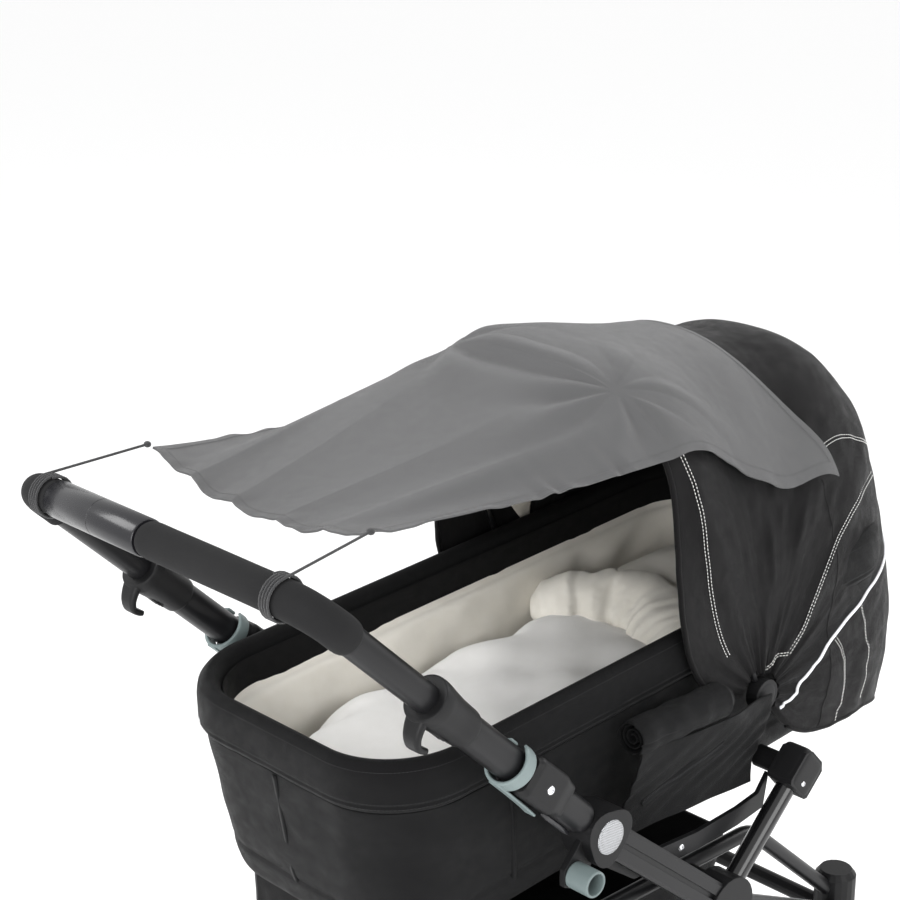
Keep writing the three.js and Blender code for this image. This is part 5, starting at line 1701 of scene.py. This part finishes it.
# ---------- bedding ----------
@dataclass
class Bedding:
    """The sheeted mattress, the quilt's gathered head end and the pillow behind it."""

    cot: Carrycot

    def _pad(self, name: str, centre: tuple[float, float, float], half: tuple[float, float, float],
             square: float,
             finish: Finish, crease: float, seed: int, waves: float = 9.0) -> Piece:
        """A stuffed pad: a squared ball in the carrycot's frame, creased by folds that fan out."""
        a = np.linspace(-math.pi / 2 + 0.01, math.pi / 2 - 0.01, 64)[:, None]
        b = (np.arange(200) / 200 * 2 * math.pi)[None, :]

        def squared(x: Array, power: float) -> Array:
            """A sine or cosine drawn out towards a pad's sides."""
            return np.sign(x) * np.abs(x) ** power

        plan = 2 / square
        flat = squared(np.cos(a), 0.55)
        x = half[0] * flat * squared(np.cos(b), plan)
        y = half[1] * flat * squared(np.sin(b), plan)
        z = half[2] * squared(np.sin(a), 0.9) + 0 * b
        rim = np.cos(a) ** 2
        fold = ripple(b / (2 * math.pi) * waves * 3, rim * 1.5 + 3, seed) * rim
        z = z + crease * fold * np.sign(np.sin(a)) + crease * 0.7 * ripple(x * 16, y * 16, seed + 1)
        grow = 1 + crease * 1.2 * fold
        local = np.stack([x * grow, y * grow, z], -1) + np.asarray(centre)
        return ring_piece(name, self.cot.place(local), finish)

    def build(self) -> None:
        """The mattress, the quilt, its gathered head end and the pillow; all but the mattress are blown up as stuffed
        cloth.
        """
        mattress = self._pad("mattress", (0, -0.02, -0.176), (0.128, 0.372, 0.026), 5.0, PALETTE.sheet,
                             0.0045, 61)
        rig.replaces(mattress, "cot_mattress")
        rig.padded(mattress, fill=0.7)
        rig.ride(mattress, "chassis")
        quilt = inflated(self._pad("quilt", (0.004, -0.12, -0.122), (0.136, 0.262, 0.034), 3.6, PALETTE.sheet,
                                   0.009, 71, 6.0), 0.006, 0.008)
        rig.padded(quilt, fill=0.4)
        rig.ride(quilt, "chassis")
        roll = inflated(self._ruffle(), 0.005, 0.006)
        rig.padded(roll, fill=0.6)
        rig.ride(roll, "chassis")
        pillow = inflated(self._pad("pillow", (0, 0.270, -0.112), (0.122, 0.115, 0.040), 3.2, PALETTE.lining,
                                    0.006, 81, 7.0), 0.006, 0.010)
        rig.padded(pillow, fill=0.7)
        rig.ride(pillow, "chassis")
        log.info("bedding")

    def _ruffle(self) -> Piece:
        """The quilt's gathered head end: a puffed roll bent in an arc, pleated across its length."""
        s = np.linspace(0, 1, 150)
        x = 0.140 - 0.280 * s
        y = 0.085 + 0.080 * np.sin(math.pi * s)
        z = -0.100 + 0.010 * np.sin(math.pi * s)
        path = np.stack([x, y, z], 1)
        a = np.arange(48) / 48 * 2 * math.pi
        pleat = 1 + 0.16 * ripple(s[:, None] * 21, np.cos(a)[None] * 1.2 + 5,
                                  91) + 0.03 * np.sin(s[:, None] * 120)
        taper = np.interp(s, [0, 0.04, 0.12, 0.88, 0.96, 1], [0.35, 0.75, 1, 1, 0.75, 0.35])
        section = np.stack([0.062 * np.cos(a), 0.031 * np.sin(a)], 1)
        tangent = unit(np.gradient(path, axis=0))
        up = np.array([0, 0, 1.0]) - tangent * tangent[:, 2:]
        up = unit(up)
        out = np.cross(up, tangent)
        rings = path[:, None] + (taper[:, None] * pleat)[..., None] * (
            section[None, :, :1] * out[:, None] + section[None, :, 1:] * up[:, None])
        return ring_piece("quilt_gathers", self.cot.place(rings), PALETTE.lining)


# ---------- side pockets ----------
@dataclass
class SidePockets:
    """The rolled cover under the rim on each side, over a zipped cloth panel."""

    start_y: float = -0.075
    end_y: float = 0.088
    roll_x: float = 0.2195
    roll_z: float = 0.7665
    roll_radius: float = 0.0205

    def _roll(self, side: Side) -> None:
        """A rolled cloth: a tube puckered near its rear opening, with a coil of cloth inside it."""
        n, m = 72, 110
        s = np.linspace(0, 1, m)
        y = self.start_y + (self.end_y - self.start_y) * s
        a = np.arange(n) / n * 2 * math.pi
        gather = 0.0022 * ripple(a[None] * 4 / math.pi * 2 + 0 * s[:, None], s[:, None] * 3,
                                 13) * np.exp(-s[:, None] / 0.25)
        soft = 0.0014 * ripple(np.cos(a)[None] * 2 + 6, s[:, None] * 9, 14)
        r = self.roll_radius * (1 - 0.10 * np.exp(-s / 0.03)
                                - 0.35 * ease((s - 0.93) / 0.07))[:, None] + gather + soft
        x = side.value * (self.roll_x + r * np.cos(a))
        z = self.roll_z - 0.002 * s[:, None] + r * np.sin(a) * 1.02
        outer = np.stack([x, y[:, None] + 0 * r, z], -1)
        depth = np.linspace(0, 1, 10)[:, None]
        hollow = self.roll_radius * (0.86 - 0.05 * depth) + 0 * a
        inside = np.stack([side.value * (self.roll_x + hollow * np.cos(a)), self.start_y + 0.001
                           + 0.03 * depth + 0 * a,
                           self.roll_z + hollow * np.sin(a)], -1)
        piece = ring_piece(f"rolled_cover_{side.label}", np.concatenate([inside[::-1], outer]), PALETTE.cot)
        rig.replaces(piece, f"side_pocket_{side.label}")
        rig.padded(piece, fill=0.5)
        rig.ride(piece, "chassis")
        t = np.linspace(0, 1, 120)
        coil_r = self.roll_radius * (0.80 - 0.62 * t)
        turn = 0.4 + t * 2 * math.pi * 2.3
        path = np.stack([side.value * (self.roll_x + coil_r * np.cos(turn)),
                         np.full(120, self.start_y + 0.012),
                         self.roll_z + coil_r * np.sin(turn)], 1)
        sections = round_box(0.0009, 0.009, 0.0007, 20)
        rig.ride(ring_piece(f"cover_coil_{side.label}", swept_rings(path, sections, (0, 1, 0)), PALETTE.cot),
                "chassis")

    def _panel(self, side: Side) -> None:
        """The cloth panel under the roll: it falls in to the carrycot and is creased on the slant."""
        u = np.linspace(0, 1, 110)[None, :]
        v = np.linspace(0, 1, 60)[:, None]
        y = self.start_y + 0.004 + (self.end_y + 0.085 - self.start_y) * u * (1 - 0.05 * v)
        z = 0.752 - 0.118 * v - 0.012 * u
        x = 0.2330 - 0.029 * ease(v * 1.1) - 0.012 * ease((u - 0.66) / 0.3) * (1 - v)
        fold = (0.0022 * ripple(u * 5 + v * 3.5, v * 1.5 - u, 15) + 0.0012 * np.sin((u * 1.1 + v * 0.9) * 31)
                * np.sin(math.pi * np.clip(v, 0, 1)))
        outer = np.stack([side.value * (x + fold), y + 0 * v, z + 0 * fold], -1)
        inner = outer - np.array([side.value * 0.0022, 0, 0])
        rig.ride(slab_piece(f"pocket_panel_{side.label}", outer, inner, PALETTE.cot), "chassis")
        t = np.linspace(0.0, 1.0, 60)
        iu, iv = (12 + t * 62).astype(int), (38 - t * 22).astype(int)
        line = spline(outer[iv, iu][::6], 90) + np.array([side.value * 0.0012, 0, 0])
        normal = np.tile([side.value * 1.0, 0, 0], (90, 1))
        teeth = [stitches(line, normal, 0.0021, 0.0009, o) for o in (-0.0007, 0.0007)]
        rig.ride(joined(f"zip_teeth_{side.label}", PALETTE.dark_thread, teeth), "chassis")
        tapes = [swept_rings(line + np.array([0, 0, dz]), round_box(0.0008, 0.0028, 0.0006, 16),
                             (0.02, 0.3, 1.0))
                 for dz in (0.0038, -0.0038)]
        parts = [capped(tape) for tape in tapes]
        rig.ride(joined(f"zip_tapes_{side.label}", PALETTE.cot, parts), "chassis")

    def build(self) -> None:
        """Both sides' rolls and panels."""
        for side in SIDES:
            self._roll(side)
            self._panel(side)
        log.info("side pockets")


# ---------- hood ----------
@dataclass
class Hood:
    """The sewn hood: one curved cloth over ribs that fan out from a pivot on each side."""

    pivot: tuple[float, float] = (0.176, 0.735)
    half_width: float = 0.208
    root: float = 0.025
    thickness: float = 0.003
    angles: tuple[float, ...] = (-60, -22, 0, 10, 22, 45, 60, 76, 95, 112, 180)
    radii: tuple[float, ...] = (0.372, 0.372, 0.378, 0.385, 0.405, 0.425, 0.442, 0.402, 0.408, 0.454, 0.454)
    squares: tuple[float, ...] = (3.7, 3.7, 3.6, 3.2, 2.7, 2.8, 2.8, 2.15, 2.5, 4.0, 4.0)
    blend_start: tuple[float, float, float] = (0, 0.478, 1.0)
    blend_end: tuple[float, float, float] = (0, -0.005, 1.0)
    piping_seam: tuple[tuple[float, float], ...] = (
        (-40, 0.3), (-20, 1.0), (-4, 2.2), (7, 5.5), (13, 11), (14, 22), (15, 40), (15, 65), (15, 90))
    rear_seams: tuple[tuple[tuple[float, float], ...], ...] = (
        ((11, 10.5), (-6, 12), (-19, 13.5), (-30, 13)), ((13, 22.5), (2, 22), (-10, 23), (-21, 25)))
    top_seam: tuple[tuple[float, float], ...] = ((63, 37), (54, 43), (43, 51), (37, 62), (34, 76), (33, 90))

    def front(self, turn: Array) -> Array:
        """The front edge's angle: 115 degrees over the top, swinging out near the pivot."""
        return 115.0 + 55 * np.exp(-np.minimum(turn, 180 - turn) / 11)

    def back(self, turn: Array) -> Array:
        """The lower edge's angle: -21 degrees at the front end, drawn under near the pivot."""
        return -21 - 33 * np.exp(-np.minimum(turn, 180 - turn) / 11)

    def rib(self, angle: Array, sizes: Sequence[float]) -> Array:
        """A rib size at an angle, averaged over 10 degrees."""
        return np.mean([np.interp(angle + d, self.angles, sizes) for d in (-5, -2.5, 0, 2.5, 5)], axis=0)

    def bare(self, angle: Array, turn: Array, lift: Array = 0.0) -> Array:
        """A point of the unwrinkled hood.

        On the rib at an angle, x is the half width times the cosine of the turn, and the
        distance from the pivot line is its sine, both drawn out to a squared arch.
        """
        c, s = np.cos(np.radians(turn)), np.sin(np.radians(turn))
        power = 2 / self.rib(angle, self.squares)
        x = (self.half_width + lift) * np.sign(c) * np.abs(c) ** power
        r = self.root + (self.rib(angle, self.radii) + lift - self.root) * np.abs(s) ** power
        a = np.radians(angle)
        return np.stack([x, self.pivot[0] + r * np.cos(a), self.pivot[1] + r * np.sin(a)], -1)

    def relief(self, angle: Array, turn: Array) -> Array:
        """How far the cloth stands off its bare shape.

        It sinks between its ribs and bulges along seams; slack folds run down the sides
        from the ribs, and pleats fan out of the pivot.
        """
        side = np.minimum(turn, 180 - turn)
        rib = np.maximum.reduce([bell(angle, 114, 7), bell(angle, 44, 6), 0.6 * bell(angle, 80, 8)])
        sink = -0.0050 * (1 - rib) * ease(side / 30)
        slack = 0.0040 * ripple(angle / 11 + side / 30, side / 19 + 9,
                                51) * bell(side, 22, 18) * ease((angle - 12) / 14)
        pleats = 0.0016 * np.sin(np.radians(angle) * 17
                                 + 2.2 * ripple(side / 9, angle / 40, 52)) * np.exp(-side / 9)
        fine = 0.0016 * ripple(angle / 3.2, side / 5.5, 53) * (0.4 + 0.6 * bell(side, 24, 22))
        skirt = 0.0036 * ripple(side / 7, angle / 30, 54) * ease((10 - angle) / 25) * ease(side / 10)
        return sink + slack + pleats + fine + skirt - 0.002

    def cloth(self, angle: Array, turn: Array, lift: float = 0.0) -> Array:
        """A point on the wrinkled hood, or above it."""
        return self.bare(angle, turn, self.relief(angle, turn) + lift)

    def line(self, knots: Sequence[tuple[float, float]], side: Side, lift: float,
             count: int = 160) -> tuple[Array, Array]:
        """A seam through (angle, turn) knots on one side, and the cloth's outward direction along it."""
        p = spline(knots, 400)
        angle, turn = p[:, 0], p[:, 1] if side is Side.NEAR else 180 - p[:, 1]
        path = self.cloth(angle, turn, lift)
        above = self.cloth(angle, turn, lift + 0.004)
        both = resampled(np.concatenate([path, above - path], axis=1), count)
        return both[:, :3], unit(both[:, 3:])

    def _settle(self, piece: Piece) -> None:
        """Bends a piece between the fixed rear of the hood and its front bow."""
        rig.blend(piece, "chassis", "hood", start=self.blend_start, end=self.blend_end)

    def shell(self) -> None:
        """The cloth and its lining in one closed sheet over the whole arch."""
        u = np.linspace(-1, 1, 281)
        turn = (90 + 90 * np.sign(u) * (1 - (1 - np.abs(u)) ** 1.7))[None, :]
        turn = np.clip(turn, 0.05, 179.95)
        v = np.linspace(0, 1, 171)[:, None]
        angle = self.front(turn) + (self.back(turn) - self.front(turn)) * v
        outer = self.cloth(angle, turn)
        inner = self.bare(angle, turn, self.relief(angle, turn) - self.thickness)
        piece = slab_piece("hood_cloth", outer, inner, PALETTE.hood)
        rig.replaces(piece, "hood_front", "hood_rear")
        self._settle(piece)

    def sewing(self) -> None:
        """White double stitching along the seams, raised seam ridges and the reflective piping."""
        rows, ridges = [], []
        turn = np.array([37, 27, 18, 12, 8, 4, 1.5])
        front_seam = [(float(112.5 + 26 * math.exp(-t / 9)), float(t)) for t in turn]
        over = [(112.5, 90), (112.5, 70), (112.5, 50), *front_seam]
        rear_seam = [(35, 50), (40, 38), (43.5, 28), (46, 19), (45.5, 11), (42, 5), (39, 2)]
        corner = [(39, 2.0), (60, 1.0), (85, 0.6)]
        for side in SIDES:
            for knots, gap in ((over, 0.0022), (rear_seam, 0.0026), (corner, 0.0016),
                               (self.top_seam, 0.0022)):
                path, normal = self.line(knots, side, 0.0004)
                rows += [stitches(path, normal, 0.0046, 0.00052, o) for o in (-gap, gap)]
            for knots in self.rear_seams:
                path, normal = self.line(knots, side, 0.0004, 90)
                rows += [stitches(path, normal, 0.0046, 0.00045, o) for o in (-0.0024, 0.0024)]
            for knots in (rear_seam, [(61, 30), (53, 23), (36, 16), (13, 9), (-16, 7), (-35, 8)], over):
                path, normal = self.line(knots, side, -0.0006)
                ridges.append(path)
        threads = joined("hood_stitches", PALETTE.thread, rows)
        self._settle(threads)
        meshes = [capped(swept_rings(path, circle(0.0011, 10), (0.9, 0.05, 0.3))) for path in ridges]
        self._settle(joined("hood_seam_ridges", PALETTE.hood, meshes))
        for side in SIDES:
            path, _ = self.line(self.piping_seam, side, 0.0008, 200)
            cord = ring_piece(f"hood_piping_{side.label}",
                              swept_rings(path, circle(0.0019, 14), (0.95, 0.0, 0.1)),
                              PALETTE.piping)
            self._settle(cord)
        path = self.cloth(self.front(np.linspace(2, 178, 300)), np.linspace(2, 178, 300), -0.0014)
        hem = ring_piece("hood_front_hem", swept_rings(path, circle(0.0034, 14), (0.02, 1.0, 0.05)),
                         PALETTE.hood)
        self._settle(hem)
        low = np.linspace(2, 178, 300)
        path = self.cloth(self.back(low), low, -0.0015)
        hem = ring_piece("hood_lower_hem", swept_rings(path, circle(0.0028, 14), (0.02, 0.3, -1.0)),
                         PALETTE.hood)
        self._settle(hem)

    def inside(self) -> None:
        """The beige strip on the inside, behind the front bow."""
        turn = np.linspace(10, 170, 200)[None, :]
        angle = 100 - 16 * np.linspace(0, 1, 14)[:, None] + 0 * turn
        outer = self.bare(angle, turn, self.relief(angle, turn) - 0.0042)
        inner = self.bare(angle, turn, self.relief(angle, turn) - 0.0062)
        strip = slab_piece("hood_lining_strip", outer, inner, PALETTE.beige)
        self._settle(strip)

    def pivots(self) -> None:
        """A button-like cover on each pivot."""
        for side in SIDES:
            cap = turned_piece(f"hood_pivot_cap_{side.label}",
                               [(0.0, 0.0198), (0.0022, 0.0196), (0.0035, 0.018), (0.0042, 0.012),
                                (0.0044, 0.0005)],
                               (side.value * 0.2092, *self.pivot), (side.value, 0, 0), PALETTE.plastic, 48)
            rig.ride(cap, "hood")

    def build(self) -> None:
        """The whole hood."""
        self.shell()
        self.sewing()
        self.inside()
        self.pivots()
        log.info("hood")


# ---------- sun sail ----------
@dataclass
class SunSail:
    """The thin grey cloth from the push bar's ties over the front of the hood."""

    hood: Hood
    rear_y: float = -0.414
    rear_z: float = 1.089
    rear_half: float = 0.180
    thickness: float = 0.0012
    lift: float = 0.0052
    edge_turn: tuple[float, float] = (38.0, 30.0)
    front_angle: float = 58.5
    front_rise: float = 25.0
    span_flat: tuple[float, float] = (0.38, 0.46)
    span_area: float = 0.145
    flap_flat: tuple[float, float] = (0.38, 0.34)
    flap_area: float = 0.105

    def surface(self, u: Array, v: Array) -> Array:
        """A point of the sail: u runs from the right edge to the left, v from the ties to the front edge.

        Up to v = 0.56 it is drawn straight from the rear edge to the hood's front arch,
        sagging by a sine. From there it lies over the hood, between edges that fall
        lower as it goes forward. Folds fan out of the arch's corners, and each edge
        scallops between the places where it is held.
        """
        split = 0.56
        w = np.clip(v / split, 0, 1)
        h = np.clip((v - split) / (1 - split), 0, 1)
        edge = self.edge_turn[0] + (self.edge_turn[1] - self.edge_turn[0]) * h
        turn = edge + (180 - 2 * edge) * u
        front = self.front_angle + self.front_rise * (1 - (2 * u - 1) ** 2)
        start = 115.5
        angle = start + (front - start) * h
        over = self.hood.bare(angle, turn, self.lift
                              + 0.0015 * np.maximum(0, self.hood.relief(angle, turn) / 0.004))
        rear = np.stack([self.rear_half * (1 - 2 * u), self.rear_y + 0 * u, self.rear_z + 0 * u], -1)
        middle = 1 - (2 * u - 1) ** 2
        wave = np.abs(np.sin(u * 5 * math.pi)) * middle ** 0.5
        rear[..., 1] -= 0.006 * middle + 0.004 * wave
        rear[..., 2] -= 0.024 * middle + 0.005 * wave
        arch = self.hood.bare(start + 0 * u, self.edge_turn[0] + (180 - 2 * self.edge_turn[0]) * u, self.lift)
        span = rear * (1 - w[..., None]) + arch * w[..., None]
        flank = np.abs(2 * u - 1)
        drop = np.sin(math.pi * w)
        span[..., 2] -= drop * (0.004 + 0.006 * ease((flank - 0.55) / 0.45))
        span[..., 0] *= 1 - 0.04 * drop * ease((flank - 0.4) / 0.6)
        base = np.where((v < split)[..., None], span, over)
        return base

    def folds(self, u: Array, v: Array) -> Array:
        """The folds' height: fans from the arch's corners, a drawn ridge to each tie, and hem puckers."""
        total = np.zeros(np.broadcast(u, v).shape)
        for corner, seed in ((0.30, 3), (0.74, 4)):
            du, dv = (u - corner) * 0.44, (v - 0.565) * 0.80
            reach = np.hypot(du, dv)
            turn = np.arctan2(dv, du)
            fan = np.sin(turn * 7 + 1.6 * ripple(turn * 2.0 + 8, reach * 5, seed))
            total += 0.0052 * fan * np.exp(-(reach / 0.15) ** 2) * ease(reach / 0.09)
        rear = np.clip(v / 0.56, 0, 1)
        flank = np.minimum(u, 1 - u)
        total += 0.0045 * bell(flank, 0.17, 0.05) * np.sin(math.pi * rear)
        total += 0.0045 * ripple(u * 3.2 + v * 2.0, v * 3.0, 12) * np.sin(math.pi * np.clip(v, 0, 1))
        pucker = np.exp(-flank / 0.035) + np.exp(-v / 0.03)
        total += 0.0022 * pucker * ripple(v * 30 + u * 4, u * 22, 14)
        total += 0.0030 * np.exp(-flank / 0.06) * (bell(v, 0.46, 0.03)
                                                   + bell(v, 0.33, 0.03)) * np.sin(v * 160)
        return np.where(v > 0.56, np.maximum(total, -0.003), total)

    def build(self) -> None:
        """The sail as two cloths that meet over the bow, each with its hem and the hem's stitches."""
        u = np.linspace(0, 1, 241)[None, :] + np.zeros((301, 1))
        v = np.linspace(0, 1, 301)[:, None] + np.zeros((1, 241))
        base = self.surface(u, v)
        normal = unit(np.cross(np.gradient(base, axis=0), np.gradient(base, axis=1)))
        normal *= np.sign(normal[..., 2:].mean())
        kernel = np.array([0.25, 0.5, 0.25])
        for _ in range(4):
            base[1:-1] = kernel[0] * base[:-2] + kernel[1] * base[1:-1] + kernel[2] * base[2:]
        mid = base + normal * self.folds(u, v)[..., None]
        hem_rows = np.minimum.reduce([u * 0.42, (1 - u) * 0.42, v * 0.8, (1 - v) * 0.8])
        thick = self.thickness * (0.5 + 0.45 * ease((0.0115 - hem_rows) / 0.0012))
        outer = mid + normal * thick[..., None]
        inner = mid - normal * thick[..., None]
        lift = mid + normal * (thick + 0.0001)[..., None]
        bow = int(round(0.56 * (len(u) - 1)))
        tie = dict(start=(0, self.rear_y, self.rear_z), end=(0, -0.03, 1.14))
        over = dict(start=self.hood.blend_start, end=self.hood.blend_end)
        hem_u, hem_v = 6, 4
        for name, rows, hem_row, flat, area, ends in (
            ("sun_sail_cloth", slice(0, bow + 1), hem_v, self.span_flat, self.span_area, tie),
            ("sun_sail_flap", slice(bow, None), -hem_v - 1, self.flap_flat, self.flap_area, over),
        ):
            cloth = slab_piece(name, outer[rows], inner[rows], PALETTE.sail, sharp=40)
            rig.replaces(cloth, "sun_sail")
            lines = [(lift[rows, k], normal[rows, k]) for k in (hem_u, -hem_u - 1)]
            lines.append((lift[hem_row, hem_u:-hem_u], normal[hem_row, hem_u:-hem_u]))
            thread = joined(f"{name}_stitches", PALETTE.grey_thread,
                            [stitches(*k, 0.0040, 0.0003) for k in lines])
            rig.sheet(cloth, flat=flat, held="stretched", rests_on=["hood_cloth"], area=area,
                     with_pieces=[thread])
            for piece in (cloth, thread):
                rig.blend(piece, "chassis", "hood", **ends)
            one_side = np.cross(np.diff(mid[rows], axis=0)[:, :-1], np.diff(mid[rows], axis=1)[:-1])
            log.info("%s of %.3f square metres", name, np.linalg.norm(one_side, axis=-1).sum())


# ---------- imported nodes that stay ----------
@dataclass
class PackedNodes:
    """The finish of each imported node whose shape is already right."""

    def build(self) -> None:
        """Dresses every node by its slot in the record, hidden ones too."""
        by_slot = {f.slot: f for f in (PALETTE.paint, PALETTE.gloss, PALETTE.plastic, PALETTE.sleeve,
                                       PALETTE.grey,
                                       PALETTE.reflector, PALETTE.foam, PALETTE.tyre, PALETTE.rim,
                                       PALETTE.cot,
                                       PALETTE.lining, PALETTE.hood, PALETTE.sail, PALETTE.cord)}
        for part in frame["record"]["subparts"]:
            by_slot[part["material_slot"]].dress_node(part["node"])
        log.info("packed nodes")


def main() -> None:
    """Builds the studio, the cords and then each sub-assembly, and writes the boxes' sizes."""
    studio = Studio()
    studio.camera()
    TieCords().build()
    studio.floor()
    studio.lights()
    PackedNodes().build()
    PushHandle().build()
    Telescope().build()
    SideFrame().build()
    Wheels().build()
    Basket().build()
    cot = Carrycot()
    cot.build()
    Bedding(cot).build()
    SidePockets().build()
    hood = Hood()
    hood.build()
    SunSail(hood).build()
    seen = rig.bounds()
    with open("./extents.json", "w", encoding="utf-8") as out:
        json.dump({"cad": [list(c) for c in CAD_BOX], "visual": [list(c) for c in seen]}, out)


if __name__ == "__main__":
    main()
